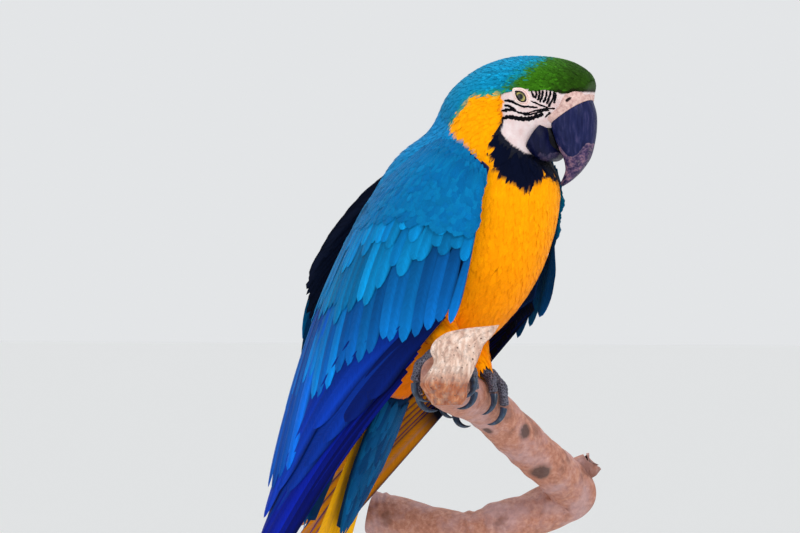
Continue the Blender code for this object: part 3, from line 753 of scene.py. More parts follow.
def shaded(colour, blank, rng, vary=0.07, edge=None, root=0.8):
    """Per-point colours: painted shade darkening each feather towards its root, a little different from
    feather to feather.
    """
    colour = colour if colour.ndim == 3 else colour[:, None, :]
    light = np.exp(rng.normal(0, vary, (len(colour), 1, 1)))
    # Painted shade: the root end of each feather is darkened to the share root, where the feathers above
    # overlap it.
    out = colour * light * (root + (1 - root) * np.clip(blank[:, 1, None] * 1.6, 0, 1))
    if edge is None:
        return out
    return blend(out, edge[:, None, :], np.clip(np.abs(blank[:, 0]) * 1.3 - 0.45, 0, 1) * 0.6)


def lengths_along(line):
    """Distance from the start of a line to each of its places."""
    return np.concatenate(([0], np.cumsum(np.linalg.norm(np.diff(line, axis=0), axis=1))))


def body_rows(first, last, spacing, rng):
    """Staggered rows of feather roots over the body between two shares of its length."""
    t_all = np.linspace(first, last, 400)
    row = spline(PROFILE, t_all)
    middle, back = (row[:, :2] + row[:, 2:4]) / 2, row[:, 2:4]
    steps = [np.linalg.norm(np.diff(line, axis=0), axis=1) for line in (middle, back)]
    far = np.concatenate(([0], np.cumsum(np.maximum(*steps))))
    turn = np.linspace(0, 1, 97)
    roots = []
    at = 0.0
    while at < far[-1]:
        t = np.interp(at, far, t_all)
        gap = float(spacing(t))
        arc = lengths_along(body_flat(np.full(97, t), turn))
        count = max(6, int(arc[-1] / gap))
        shift = 0.5 * (len(roots) % 2) + rng.uniform(-0.22, 0.22, count)
        turns = np.interp((np.arange(count) + shift) * arc[-1] / count % arc[-1], arc, turn)
        ts = np.full(count, t)
        local = np.linalg.norm(body_flat(ts + 0.004, turns) - body_flat(ts - 0.004, turns), axis=-1)
        keep = rng.uniform(0, 1, count) < local / local.max() * 1.15
        jitter = rng.uniform(-0.25, 0.25, count) * gap * (t_all[-1] - t_all[0]) / far[-1]
        roots.append(np.stack((ts + jitter, turns), -1)[keep])
        at += gap * ROW_OVERLAP
    return np.concatenate(roots)


# ---------------------------------------------------------------- smooth pieces


def link(name, bm, mat, slot, *replaced):
    """Makes a finished piece from a bmesh."""
    mesh = bpy.data.meshes.new(name)
    bm.to_mesh(mesh)
    bm.free()
    mesh.shade_smooth()
    return added(name, mesh, mat, slot, *replaced)


def flat_grid(columns, rows):
    """A grid, with the share of its width and of its height at each point."""
    bm = bmesh.new()
    bmesh.ops.create_grid(bm, x_segments=columns, y_segments=rows, size=0.5)
    co = np.array([v.co for v in bm.verts]) + 0.5
    return bm, co[:, 0], co[:, 1]


def closed_up(bm, places):
    """Moves a grid's points to places in the bird's mm, joins its seams and fills its ends."""
    for vert, place in zip(bm.verts, to_world(places)):
        vert.co = place
    bmesh.ops.remove_doubles(bm, verts=bm.verts, dist=1e-7)
    bmesh.ops.holes_fill(bm, edges=[e for e in bm.edges if e.is_boundary], sides=0)
    bmesh.ops.recalc_face_normals(bm, faces=bm.faces)
    return bm


def wrapped_grid(shape, around, along):
    """A closed tube from a grid: shape(along share, round share) gives places in the bird's mm."""
    bm, u, v = flat_grid(around, along)
    u[u > 0.9999] = 0.0
    return closed_up(bm, shape(v, u))


def ring_at(place, first, second, radius, turn):
    """Places round a point, a radius away, at a share of a full turn from one cross direction."""
    angle = (2 * np.pi * turn)[..., None]
    return place + radius[..., None] * (first * np.cos(angle) + second * np.sin(angle))


def into(bm, other):
    """Adds one bmesh to another."""
    mesh = bpy.data.meshes.new("joined")
    other.to_mesh(mesh)
    other.free()
    bm.from_mesh(mesh)
    bpy.data.meshes.remove(mesh)


def path_frames(path, t):
    """Places, directions and two cross directions along a path given as a function of t."""
    ahead = unit(path(np.minimum(t + 0.004, 1.0)) - path(np.maximum(t - 0.004, 0.0)))
    up = unit((0.0, 0.0, 1.0) - ahead * ahead[..., 2:])
    return path(t), ahead, up, np.cross(ahead, up)


def unit(vectors):
    """Directions of unit length."""
    return vectors / (np.linalg.norm(vectors, axis=-1, keepdims=True) + 1e-12)


def places_of(obj):
    """A piece's vertices in the bird's millimetres, with the head turned back straight."""
    co = np.empty(len(obj.data.vertices) * 3)
    obj.data.vertices.foreach_get("co", co)
    out = (co.reshape(-1, 3) - GRIP) / MM
    out[:, 1] *= -1
    return swung(out, -HEAD_YAW * smooth(*TURN_RISE, out[:, 2]))


# ---------------------------------------------------------------- skin


def coat_depth(t):
    """Thickness of the plumage over the skin at a share of the body's length, mm."""
    return np.interp(t, (0, 0.3, 0.5, 0.62, 0.72, 0.9, 1.0), (3.5, 4, 3.5, 2.4, 1.4, 0.9, 0.5))


def skin_shape(t, turn):
    """The body under its plumage; on the bare face it is the outer surface itself."""
    t = np.clip(t, 0.002, 0.995)
    flat = body_flat(t, turn)
    covered = smooth(3.0, -1.0, bare_face(flat))
    return body_at(t, turn, -coat_depth(t) * covered)


def leg_line(hand):
    """Knee and hip of one side, and two directions square to the line between them."""
    knee = np.array(KNEE[hand], float)
    hip = np.array((hand * HIP[0], HIP[1], HIP[2]), float)
    ahead = unit(hip - knee)
    first = unit(np.cross(ahead, (0, 1, 0)))
    return knee, hip, first, np.cross(ahead, first)


def thigh_shape(hand):
    """The thigh under its plumage, from the knee up into the body."""
    knee, hip, first, second = leg_line(hand)
    table = np.array([knee + (hip - knee) * share for share in (0.02, 0.33, 0.66, 1.0)])

    def shape(t, turn):
        radius = np.interp(t, (0, 0.33, 0.66, 1), (8.0, 13.5, 17.5, 18.5))
        return ring_at(spline(table, t), first, second, radius, turn)

    return shape


def build_skin(mat):
    """One closed skin over head, neck, trunk, rump and thighs."""
    bm = wrapped_grid(skin_shape, 220, 260)
    for hand in SIDE:
        into(bm, wrapped_grid(thigh_shape(hand), 48, 30))
    flesh = ("head", "neck", "trunk", "rump", "thigh_left", "thigh_right")
    obj = link("body_skin", bm, mat, "plumage_yellow", *flesh)
    remesh = obj.modifiers.new("one skin", "REMESH")
    remesh.mode = "VOXEL"
    remesh.voxel_size = 0.0013
    remesh.use_smooth_shade = True
    depsgraph = bpy.context.evaluated_depsgraph_get()
    merged = bpy.data.meshes.new_from_object(obj.evaluated_get(depsgraph))
    old = obj.data
    obj.modifiers.clear()
    obj.data = merged
    bpy.data.meshes.remove(old)
    if not obj.data.materials:
        obj.data.materials.append(mat)
    painted(obj.data, body_colour(places_of(obj), np.random.default_rng(3)))


# ---------------------------------------------------------------- plumage of the body


def body_feathers(name, first, last, spacing, cut, mat, slot, seed):
    """Rows of contour feathers over part of the body, in the bird's own markings."""
    rng = np.random.default_rng(seed)
    blank = cut[0]
    roots = body_rows(first, last, spacing, rng)
    t, turn = np.clip(roots[:, 0], 0.004, 0.9935), roots[:, 1] % 1.0
    covered = bare_face(body_flat(t, turn)) < -0.3
    t, turn = t[covered], turn[covered]
    scale = spacing(t) * rng.uniform(0.85, 1.15, len(t))
    length, width = 4.4 * scale, 1.5 * scale
    base = -np.minimum(0.75, 0.6 * coat_depth(t)) * rng.uniform(0.85, 1.15, len(t))
    lift = rng.uniform(0.16, 0.28, len(t)) - base
    heading = rng.normal(0, 0.10, len(t))
    places = laid(body_at, t, turn, blank, length, width, lift, base, heading, thick=0.12)
    step = np.linalg.norm(body_flat(t + 0.003, turn) - body_flat(t, turn), axis=-1) / 0.003
    reach = length / np.maximum(step, 20)

    def toward_tip(share):
        return body_flat(np.clip(t - share * reach, 0.002, 1), turn)

    whole = bare_face(toward_tip(1)) < 0.8
    places, turn, t, reach, length, width = (v[whole] for v in (places, turn, t, reach, length, width))
    stations, at = np.unique(np.round(blank[:, 1], 3), return_inverse=True)
    places_at = [toward_tip(0.45 + 0.55 * y) for y in stations]
    colour = [body_colour(place, np.random.default_rng(seed), True) for place in places_at]
    vary = 0.18 if first > 0.7 else 0.05
    tint = shaded(np.stack(colour, 1)[:, at], blank, rng, vary, None, 0.9)
    coat(name, places, cut, tint, (length, width), (turn, t), rng, mat, slot)


def thigh_surface(hand):
    """The outside of a thigh's plumage: first from the knee up, then round it."""
    knee, hip, first, second = leg_line(hand)

    def surface(p, q, height):
        radius = np.interp(p, (-0.4, 0, 0.33, 0.66, 1), (7.0, 10.0, 14.5, 18, 19)) + height
        return ring_at(knee + (hip - knee) * p[..., None], first, second, radius, q)

    return surface


def thigh_feathers(hand, mat):
    """Soft yellow feathers hanging over a thigh to the ankle."""
    rng = np.random.default_rng(60 + hand)
    rows, around = 15, 28
    count = rows * around
    p = np.repeat(np.linspace(0.0, 0.95, rows), around) + rng.normal(0, 0.015, count)
    q = (np.tile(np.arange(around), rows) + rng.uniform(0, 1, count)) / around
    length = rng.uniform(14, 20, count)
    width = rng.uniform(5.5, 7.5, count)
    heading = rng.normal(0, 0.12, count)
    lift = rng.uniform(0.6, 1.6, count)
    base = np.full(count, -0.6)
    places = laid(thigh_surface(hand), p, q, SILK[0], length, width, lift, base, heading, thick=0.12)
    colour = blend("#F98A00", "#FFA000", rng.uniform(0, 1, count))
    tint = shaded(colour, SILK[0], rng, 0.05, None, 0.9)
    name = "feathers_thigh_" + SIDE[hand]
    coat(name, places, SILK, tint, (length, width), (q, p), rng, mat, "plumage_yellow")


# ---------------------------------------------------------------- wings and tail


def stretched(surface, root, tip, blank, width, base, lift, thick, curl=0.0):
    """Long feathers from root to tip places on a surface (first along, second across)."""
    x, y, z = blank.T[:, None, :]
    span = tip - root
    p = root[:, :1] + span[:, :1] * y
    q = root[:, 1:] + span[:, 1:] * y
    step = 0.004
    here = surface(p, q, 0 * p)
    dp = (surface(p + step, q, 0 * p) - here) / step
    dq = (surface(p, q + step, 0 * p) - here) / step
    ahead = unit(dp * span[:, 0, None, None] + dq * span[:, 1, None, None])
    aside = unit(np.cross(ahead, surface(p, q, 0 * p + 1.0) - here))
    off = (x * width[:, None] / 2)[..., None] * aside
    # Turn the offset into the surface's own coordinates, so that the vane follows its curve
    g11, g22, g12 = (dp * dp).sum(-1), (dq * dq).sum(-1), (dp * dq).sum(-1)
    b1, b2 = (off * dp).sum(-1), (off * dq).sum(-1)
    det = np.maximum(g11 * g22 - g12 * g12, 1.0)
    height = base[:, None] + lift[:, None] * y + thick * z - curl * width[:, None] * x * x
    return surface(p + (b1 * g22 - b2 * g12) / det, q + (b2 * g11 - b1 * g12) / det, height)


FLIGHT = quill(30, 9, 0.80, 0.35)
COVERT = quill(14, 7, 0.72, 0.28)
TUFT = leaf(8, 5, 0.5, 0.15, 0.16)
SILK = leaf(6, 3, 0.5, 0.5, 0.2)
FACE_TUFT = leaf(5, 3, 0.45, 0.3, 0.0)


# Rows of coverts: kind, count, first and last a, b of the roots, b of the tips, widths, base, wander
COVERT_ROWS = (
    ("greater", 19, (0.0, 0.97), (0.45, 0.42), (0.97, 0.91, 0.855, 0.83, 0.815, 0.78, 0.745, 0.70, 0.66),
     (14, 15), 0.5, 0.026),
    ("median", 21, (0.01, 0.98), (0.33, 0.29), (0.54, 0.525, 0.53, 0.60, 0.665, 0.635, 0.58, 0.545, 0.53),
     (13, 14), 1.3, 0.028),
    ("median", 23, (0.02, 0.98), (0.25, 0.23), (0.43, 0.44, 0.44, 0.45, 0.47, 0.48, 0.475, 0.47),
     (12, 13), 1.9, 0.026),
)


def wing_rows(hand):
    """Rows of coverts as kind, root (b, a), tip (b, a), width and base; the left wing has a near-black row
    along its rear edge as painted shade.
    """
    rng = np.random.default_rng(40 + hand)
    rows = []
    for kind, count, ends, b_root, b_tip, width, base, wander in COVERT_ROWS:
        share = np.linspace(0, 1, count)
        a = np.linspace(*ends, count)
        b0 = np.interp(share, (0, 1), b_root) + rng.normal(0, wander, count)
        b1 = np.interp(share, np.linspace(0, 1, len(b_tip)), b_tip) + rng.normal(0, wander, count)
        tip = np.stack((b1, a + rng.normal(0, 0.006, count)), -1)
        wide = np.interp(share, (0, 1), width) * rng.uniform(0.94, 1.06, count)
        rows.append((kind, np.stack((b0, a), -1), tip, wide, base + 0.9 * share + 0.9 * share**4))
    # A row of near-black coverts along the left wing's rear edge: a dark sheet standing in for the shade
    # there.
    if hand > 0:
        b = np.linspace(-0.20, 0.33, 36)
        rim = (1.11, 1.13, 1.10, 1.05, 1.03, 1.01, 0.97)
        edge = np.interp(b + 0.20, (0, 0.12, 0.20, 0.28, 0.38, 0.43, 0.53), rim)
        root = np.stack((b, edge - 0.09), -1)
        tip = np.stack((b + 0.20, edge + rng.normal(0, 0.006, len(b))), -1)
        rows.append(("edge", root, tip, 12.0 + 0 * b, np.linspace(2.0, 1.2, len(b))))
    return rows


# Longest feathers: kind, then root and tip as (shoulder to edge, front to back), width in mm
FLIGHTS = (
    ("primary", (0.985, 0.22), (1.0, 0.94), 15),
    ("primary", (0.97, 0.20), (1.0, 0.985), 15),
    ("primary", (0.955, 0.18), (0.985, 1.0), 16),
    ("primary", (0.94, 0.16), (0.96, 1.0), 16),
    ("primary", (0.925, 0.15), (0.935, 0.995), 16),
    ("primary", (0.91, 0.14), (0.91, 0.98), 16),
    ("secondary", (0.90, 0.13), (0.90, 0.93), 18),
    ("secondary", (0.885, 0.12), (0.915, 0.80), 18),
    ("secondary", (0.87, 0.10), (0.92, 0.69), 19),
    ("secondary", (0.86, 0.09), (0.93, 0.58), 19),
    ("secondary", (0.86, 0.07), (0.94, 0.47), 19),
    ("secondary", (0.87, 0.05), (0.955, 0.36), 18),
    ("secondary", (0.80, 0.20), (0.86, 0.66), 19),
    ("secondary", (0.78, 0.40), (0.885, 0.87), 18),
    ("secondary", (0.74, 0.50), (0.89, 0.95), 17),
    ("tertial", (0.45, 0.72), (0.875, 0.80), 20),
    ("tertial", (0.42, 0.79), (0.865, 0.855), 20),
    ("tertial", (0.40, 0.86), (0.855, 0.905), 19),
    ("tertial", (0.38, 0.92), (0.84, 0.955), 17),
)

LEFT_WING_FOLD = 0.06  # how much higher the left wing's long feathers are drawn up
TIP_GLOW = {"greater": 0.35, "median": 0.05}  # how much paler the covert tips are
KIND_COLOUR = {
    "primary": ("#020C62", "#031C92"),
    "secondary": ("#031C6C", "#05349C"),
    "tertial": ("#04429A", "#065EC4"),
    "greater": ("#044C94", "#0468AE"),
    "median": ("#0266A2", "#047AB4"),
    # Near-black for the edge row: painted shade along the left wing's rear edge.
    "edge": ("#03060F", "#071020"),
}


def flight_tint(kind, blank, under, count, rng):
    """Blue above, ochre or black beneath, blackish along the edges, and darkened towards the root as painted
    shade.
    """
    x, y = blank[:, 0], blank[:, 1]
    vary = 0.34 if kind in ("primary", "secondary") else 0.17
    own = blend(*KIND_COLOUR[kind], rng.uniform(0, 1, count)) * np.exp(rng.normal(0, vary, (count, 1)))
    edge = np.clip((np.abs(x) - 0.62) / 0.38, 0, 1)
    band = 1 + 0.35 * np.exp(-(((x - 0.45) / 0.22) ** 2))
    # Painted shade: each feather darkens towards its root; the covert tips are paler.
    light = (1 - 0.6 * np.clip(1 - y * 1.3, 0, 1)) * (1 + TIP_GLOW.get(kind, 0.0) * smooth(0.66, 1.0, y))
    top = blend(own[:, None, :] * band[:, None], "#03091C", 0.75 * edge) * light[:, None]
    low = linear("#F09414" if kind == "primary" else "#0A1226") * np.exp(rng.normal(0, 0.08, (count, 1, 1)))
    if kind == "primary":
        low = blend(low, "#C48A7A", 0.6 * np.exp(-((x / 0.12) ** 2)))
        low = blend("#080C18", low, smooth(0.34, 0.46, y))
    low = top * 0.35 if kind in TIP_GLOW else blend(low, "#14101A", 0.8 * edge)
    return np.where(under[:, None] > 0.6, low, top)


def wing_piece(name, surface, cut, root, tip, wide, base, thick, kinds, rng, *look):
    """Lays one row of long feathers, coloured by kind, and joins them into a piece."""
    places = stretched(surface, root, tip, cut[0], wide, base, 0 * base + 0.6, thick, 0.03)
    tint = np.concatenate([flight_tint(kind, cut[0], cut[2], count, rng) for kind, count in kinds])
    length = np.linalg.norm(places[:, -1] - places[:, 0], axis=-1)
    coat(name, places, cut, tint, (length, wide), wing_map(root[:, 0], root[:, 1]), rng, *look)


def wing_map(b, a):
    """Where a feather rooted at (b, a) on a wing has its patch."""
    return a * 0.9 + 0.05, b * 0.9 + 0.02


def build_wing(hand, mat):
    """The folded wing: covert rows, then long feathers from the outermost at the bottom up, and a core."""
    wing = "wing_" + SIDE[hand]
    rng = np.random.default_rng(7 + hand)

    def surface(b, a, height):
        return wing_at(a, b, height, hand)

    for number, (kind, root, tip, wide, base) in enumerate(wing_rows(hand)):
        look = (mat, "plumage_blue", *(() if number else (f"{wing}_coverts",)))
        kinds = [(kind, len(root))]
        wing_piece(f"{wing}_{kind}_{number}", surface, COVERT, root, tip, wide, base, 0.5, kinds, rng, *look)
    kinds, roots, tips, widths = zip(*FLIGHTS)
    root = roots + rng.normal(0, 0.003, (len(FLIGHTS), 2))
    tip = tips + rng.normal(0, 0.003, (len(FLIGHTS), 2))
    if hand > 0:
        for ends in (root, tip):
            ends[:, 0] *= 1 - LEFT_WING_FOLD * smooth(0.8, 0.9, ends[:, 0])
    base = -3.4 + 0.32 * np.arange(len(FLIGHTS))
    kinds = [(kind, 1) for kind in kinds]
    look = (mat, "flight_feathers", f"{wing}_secondaries", f"{wing}_primaries")
    wide = np.array(widths, float)
    wing_piece(wing + "_quills", surface, FLIGHT, root, tip, wide, base, 0.8, kinds, rng, *look)
    lesser_coverts(hand, surface, mat)
    wing_core(hand, mat)


def lesser_coverts(hand, surface, mat):
    """Small scale-like feathers over the shoulder of the wing."""
    rng = np.random.default_rng(90 + hand)
    b, a = [], []
    for i in range(17):
        count = 22 + i // 2
        a.append((np.arange(count) + 0.5 * (i % 2) + rng.uniform(-0.3, 0.3, count)) / count)
        b.append(0.31 * (i / 16) ** 0.9 - 0.01 + rng.normal(0, 0.004, count))
    b, a = np.clip(np.concatenate(b), 0.0, 1), np.clip(np.concatenate(a), 0.01, 0.99)
    size = np.interp(b, (0, 0.33), (8.5, 14)) * rng.uniform(0.85, 1.15, len(b))
    base = 2.1 + 0.5 * smooth(0.0, 0.1, b) - 2.0 * smooth(0.06, 0.0, b)
    heading = rng.normal(0, 0.12, len(b))
    places = laid(surface, b, a, TUFT[0], size * 1.35, size, 0.09 * size, base, heading, 1.0, 0.4, 0.03)
    colour = blend("#0264A0", "#0474AC", rng.uniform(0, 1, len(b)))
    tint = shaded(colour, TUFT[0], rng, 0.06, colour * 0.8, 0.8)
    name = f"wing_{SIDE[hand]}_lesser"
    coat(name, places, TUFT, tint, (size * 1.35, size), wing_map(b, a), rng, mat, "plumage_blue")


def wing_core(hand, mat):
    """The closed body of the wing under its feathers."""

    def shape(v, u):
        a = 0.5 - 0.5 * np.cos(2 * np.pi * u)
        b = 0.01 + 0.79 * v
        half = np.interp(b, (0, 0.4, 1), (4.5, 4, 0.6))
        edge = np.sin(np.pi * np.clip(a, 0, 1)) ** 0.35
        height = -1.0 - half + np.where(u < 0.5, half, -half) * edge
        return wing_at(0.03 + (0.94 - 0.05 * v) * a, b, height - 1.5 * smooth(0.5, 0.8, b), hand)

    obj = link(f"wing_{SIDE[hand]}_core", wrapped_grid(shape, 48, 60), mat, "plumage_blue")
    painted(obj.data, linear("#06204C"))


TAIL_LENGTHS = (482, 430, 375, 322, 272, 225)
TAIL_SPREAD = (0.0, 4.5, 9.0, 13.5, 17.5, 21.0)


# Tail colours beneath and above: two blues or ochres to mix, the rim's colour and its share
TAIL_COLOURS = ((("#F8B40A", "#E8A40A"), "#7A4A04", 0.45), (("#0A54A8", "#0C68B8"), "#061C4C", 0.5))


def build_tail(mat):
    """Twelve graduated tail feathers, ochre beneath and blue above, and four short blue ones behind."""
    rng = np.random.default_rng(12)
    cut = quill(34, 9, 0.84, 0.45)
    blank, _, under = cut
    rows = []
    for rank, (length, spread) in enumerate(zip(TAIL_LENGTHS, TAIL_SPREAD)):
        for hand in SIDE:
            at = hand * max(spread, 1.5) / 100
            base = -1.6 + 0.62 * rank + (0.3 if hand > 0 else 0.0)
            rows.append((0.02, at * 0.45, length / 100, at, 22 - rank if rank else 23, base, 0.0))
    for number in range(4):
        tip = (3.1 - 0.28 * number, -0.03 - 0.025 * number)
        rows.append((1.1, -0.02, *tip, 17, -3.0 - number, -3.8 * (number + 1)))
    rows = np.array(rows)
    root, tip, (wide, base, lift) = rows[:, :2], rows[:, 2:4], rows[:, 4:].T

    def surface(along, across, depth):
        return tail_at(across * 100.0, along * 100.0, depth)

    places = stretched(surface, root, tip, blank, wide, base, lift, 0.8, 0.02)
    length = np.linalg.norm(places[:, -1] - places[:, 0], axis=-1)
    share = np.arange(len(rows)) / len(rows)
    across = np.abs(blank[:, 0])
    edge = np.clip((across - 0.6) / 0.4, 0, 1)
    front, rear = (
        blend(blend(*codes, rng.uniform(0, 1, len(rows)))[:, None, :], rim, amount * edge)
        for codes, rim, amount in TAIL_COLOURS
    )
    ochre = ((under < 0.5) & (across < 0.95))[:, None] & (lift == 0)[:, None, None]
    where = (0.5 + root[:, 1] * 2, 0.05 + 0.9 * share)
    look = (mat, "tail_feathers", "tail_left", "tail_right")
    coat("tail_feathers", places, cut, np.where(ochre, front, rear), (length, wide), where, rng, *look)


def blade_surface(root, tip, half_width, thick, lean):
    """A pointed leaf-shaped mound of coverts from root to tip as (fore, rise)."""
    ahead = unit(tip - root)
    out = np.array((-ahead[1], ahead[0])) * lean

    def surface(p, q, height):
        half = half_width * np.sqrt(np.clip(1 - p, 0.0, 1)) * (0.75 + 0.25 * np.sin(np.pi * np.clip(p, 0, 1)))
        angle = np.pi * (q - 0.5)
        crown = thick * np.clip(1 - p, 0.08, 1) ** 0.6 * np.cos(angle) + height
        flat = root + (tip - root) * p[..., None] + out * crown[..., None]
        return np.concatenate(((np.maximum(half, 0.8) * np.sin(angle))[..., None], flat), -1)

    return surface


def build_tail_coverts(name, node_name, root, tip, half, thick, lean, colours, mat):
    """Overlapping pointed coverts above or beneath the tail root, over a closed core painted darker as shade.
    """
    rng = np.random.default_rng(len(name))
    root, tip = np.array(root, float), np.array(tip, float)
    surface = blade_surface(root, tip, half, thick, lean)
    p, q = [], []
    for i in range(13):
        count = max(3, 9 - i // 2)
        p.append(np.full(count, -0.12 + 0.85 * i / 12) + rng.normal(0, 0.012, count))
        q.append((np.arange(count) + 0.5 + 0.3 * (i % 2) + rng.uniform(-0.15, 0.15, count)) / (count + 0.3))
    p, q = np.concatenate(p), np.clip(np.concatenate(q), 0.03, 0.97)
    cut = leaf(9, 5, 0.45, 0.55, 0.12)
    size = np.interp(p, (0, 1), (13, 17)) * rng.uniform(0.88, 1.12, len(p))
    length = np.minimum(size * 1.9, (1.02 - p) * np.linalg.norm(tip - root))
    heading = rng.normal(0, 0.06, len(p))
    places = laid(surface, p, q, cut[0], length, size * 0.8, 0.05 * size, 0.4 + 0 * p, heading, 1.0, 0.45)
    colour = blend(*colours, rng.uniform(0, 1, len(p)))
    tint = shaded(colour, cut[0], rng, 0.08, colour * 0.6, 0.6)
    coat(name, places, cut, tint, (length, size), (q, p * 0.9 + 0.05), rng, mat, "plumage_blue", node_name)

    def core(v, u):
        over = np.where(u < 0.5, u * 2, 2 - u * 2)
        height = np.where(u < 0.5, -0.6, -thick * 0.9)
        return surface(-0.15 + 1.08 * v, over, height * np.sin(np.pi * np.clip(over, 0, 1)) ** 0.5)

    obj = link(name + "_core", wrapped_grid(core, 32, 30), mat, "plumage_blue")
    # Painted shade: the core shows through the gaps at half the coverts' colour.
    painted(obj.data, linear(colours[0]) * 0.5)


# ---------------------------------------------------------------- bill, eyes and face

# Sections of the bill: outer (ahead, rise), inner (ahead, rise), half-width, from head to tip
BILL_UPPER = np.array(
    (
        (61.5, 213, 33.5, 195, 16.2),
        (64.3, 204, 35.0, 189.5, 15.8),
        (64.8, 194, 37.0, 183.5, 14.4),
        (63.6, 183, 39.5, 177, 12.2),
        (60.5, 171.5, 42.2, 170, 9.2),
        (53.8, 162, 42.8, 163, 6.3),
        (46, 155, 40.5, 157.5, 3.8),
        (39.5, 151, 37.6, 153.2, 1.5),
    ),
    dtype=float,
)
BILL_LOWER = np.array(
    (
        (31.5, 199.5, 16.5, 177, 21.8),
        (34.6, 192.5, 23.5, 171.2, 19.6),
        (35.5, 184.5, 30.5, 168.8, 15.6),
        (37.6, 179.5, 36, 170.5, 9.8),
        (38.8, 176.6, 38.4, 173.6, 5.8),
    ),
    dtype=float,
)


# A near-black piece between the bill halves: painted shadow in the gap under the upper bill.
BILL_MOUTH_SHADOW = np.array(
    (
        (33, 201, 20, 186, 15),
        (37, 194, 27, 180, 13.5),
        (40, 186, 32, 176, 11),
        (41, 180, 37, 175, 6),
    ),
    dtype=float,
)
BILL_FLATNESS = 0.4  # how flat the side of each half facing the mouth is


def on_head(side, ahead, rise):
    """Places given from the head's own reference point, turned with it."""
    side, ahead, rise = np.broadcast_arrays(*(np.asarray(v, float) for v in (side, ahead, rise)))
    return swung(np.stack((side, ahead + HEAD_FORE, rise), -1), HEAD_YAW)


def bill_section(row, share, swing, squareness, inset=0.0):
    """Side, ahead and rise round one section of the bill: rounded culmen, flatter sides."""
    power = np.where(share > 0.5, BILL_FLATNESS, squareness)
    side = (row[..., 4] - inset) * np.sign(swing) * np.abs(swing) ** power
    ahead = row[..., 0] + (row[..., 2] - row[..., 0]) * share
    return side, ahead, row[..., 1] + (row[..., 3] - row[..., 1]) * share


def bill_half(table, squareness):
    """A bill half as a tube from base to tip."""

    def shape(t, u):
        angle = 2 * np.pi * u
        return on_head(*bill_section(spline(table, t), 0.5 + 0.5 * np.cos(angle), np.sin(angle), squareness))

    return shape


def build_bill(mat):
    """Both bill halves and a near-black piece between them as painted shadow, the lower half darkened as
    painted shade, with wear along the cutting edges and tip.
    """
    halves = (
        ("bill_upper", BILL_UPPER, 0.92, 1.0),
        ("bill_lower", BILL_LOWER, 0.9, (0.22, 0.28, 0.42)),
        ("bill_mouth_shadow", BILL_MOUTH_SHADOW, 0.9, (0.02, 0.02, 0.03)),
    )
    for name, table, squareness, shade in halves:
        nodes = () if name == "bill_mouth_shadow" else (name,)
        obj = link(name + "_horn", wrapped_grid(bill_half(table, squareness), 96, 110), mat, "bill", *nodes)
        flat = places_of(obj)
        ahead, rise = flat[:, 1] - HEAD_FORE, flat[:, 2]
        wear_and_shade = 0 * rise
        if name == "bill_upper":
            inner, outer = (np.interp(rise, table[::-1, k + 1], table[::-1, k]) for k in (2, 0))
            middle = 2 * (ahead - inner) / np.maximum(outer - inner, 1) - 1
            low = smooth(3, -3, rise - 173 - 13 * np.clip(middle, -1, 0.85) ** 2)
            wear_and_shade = 0.45 * np.exp(-(((ahead - inner) / 4.0) ** 2)) + 0.85 * low
        elif name == "bill_lower":
            wear_and_shade = 0.15 + 0.6 * smooth(180, 172, rise) * smooth(22, 32, ahead)
        painted(obj.data, wear_and_shade[:, None], "wear_and_shade")
        # Painted shade: the lower half is darkened and the piece between the halves is near-black.
        painted(obj.data, shade)


# Upper edge of the cere, from the top of the bill back to the corner of the mouth: (ahead, rise)
CERE_EDGE = np.array(
    (
        (59.6, 218.4), (55, 219.2), (50.6, 217.8), (47.4, 215.2),
        (44.6, 210.6), (40.6, 206.2), (35.9, 202.6), (31.6, 197.6),
    ),
    dtype=float,
)
NOSTRIL = np.array(((47.6, 211.6), (50.6, 214.0), (53.2, 215.6)), float)


def cere_shape(t, u):
    """The cere as a shell: t from the horn's edge up onto the head, u round the bill's root."""
    angle = 2 * np.pi * u
    share = 0.5 - 0.5 * np.cos(angle)
    swing = np.sin(angle)
    side, ahead, rise = bill_section(BILL_UPPER[0], share, swing, 0.92, 0.4)
    far = spline(CERE_EDGE, share)
    body_t, body_turn = on_cheek(far[..., 0].ravel(), far[..., 1].ravel(), 1)
    reach = np.abs(body_flat(body_t, body_turn)[:, 0]).reshape(share.shape) - 0.5
    far_side = np.sign(swing) * np.minimum(reach, 30 * np.abs(swing) ** 0.8)
    swell = np.sin(np.pi * np.clip(0.12 + 0.88 * t, 0, 1)) ** 0.7
    crown = swell * (1 - share)
    side = side * (1 - t) + far_side * t + np.sign(swing) * np.abs(swing) ** 0.5 * 1.1 * swell
    ahead = ahead * (1 - t) + far[..., 0] * t + 0.6 * crown
    return on_head(side, ahead, rise * (1 - t) + far[..., 1] * t + 0.5 * crown)


def build_cere(mat, dark):
    """The soft collar of skin at the root of the upper bill, with a nostril either side."""
    link("cere", wrapped_grid(cere_shape, 128, 18), mat, "scaly_skin")
    for hand, label in SIDE.items():
        t, turn = on_cheek(NOSTRIL[:, 0], NOSTRIL[:, 1], hand)
        middle = body_at(t, turn, np.full(len(t), 0.8))
        tube = wrapped_grid(rod_along(middle, (0.7, 1.6, 1.3, 0.5)), 24, 24)
        # Painted shade: the near-black rod stands for the shade inside the nostril opening.
        painted(link(f"nostril_{label}", tube, dark, "scaly_skin").data, linear("#1E0E10"))


def rod_along(middle, radii):
    """A soft rod along a few places, its radius given at even steps."""

    def shape(t, u):
        place, _, up, side = path_frames(lambda s: spline(middle, s), t)
        return ring_at(place, up, side, np.interp(t, np.linspace(0, 1, len(radii)), radii), u)

    return shape


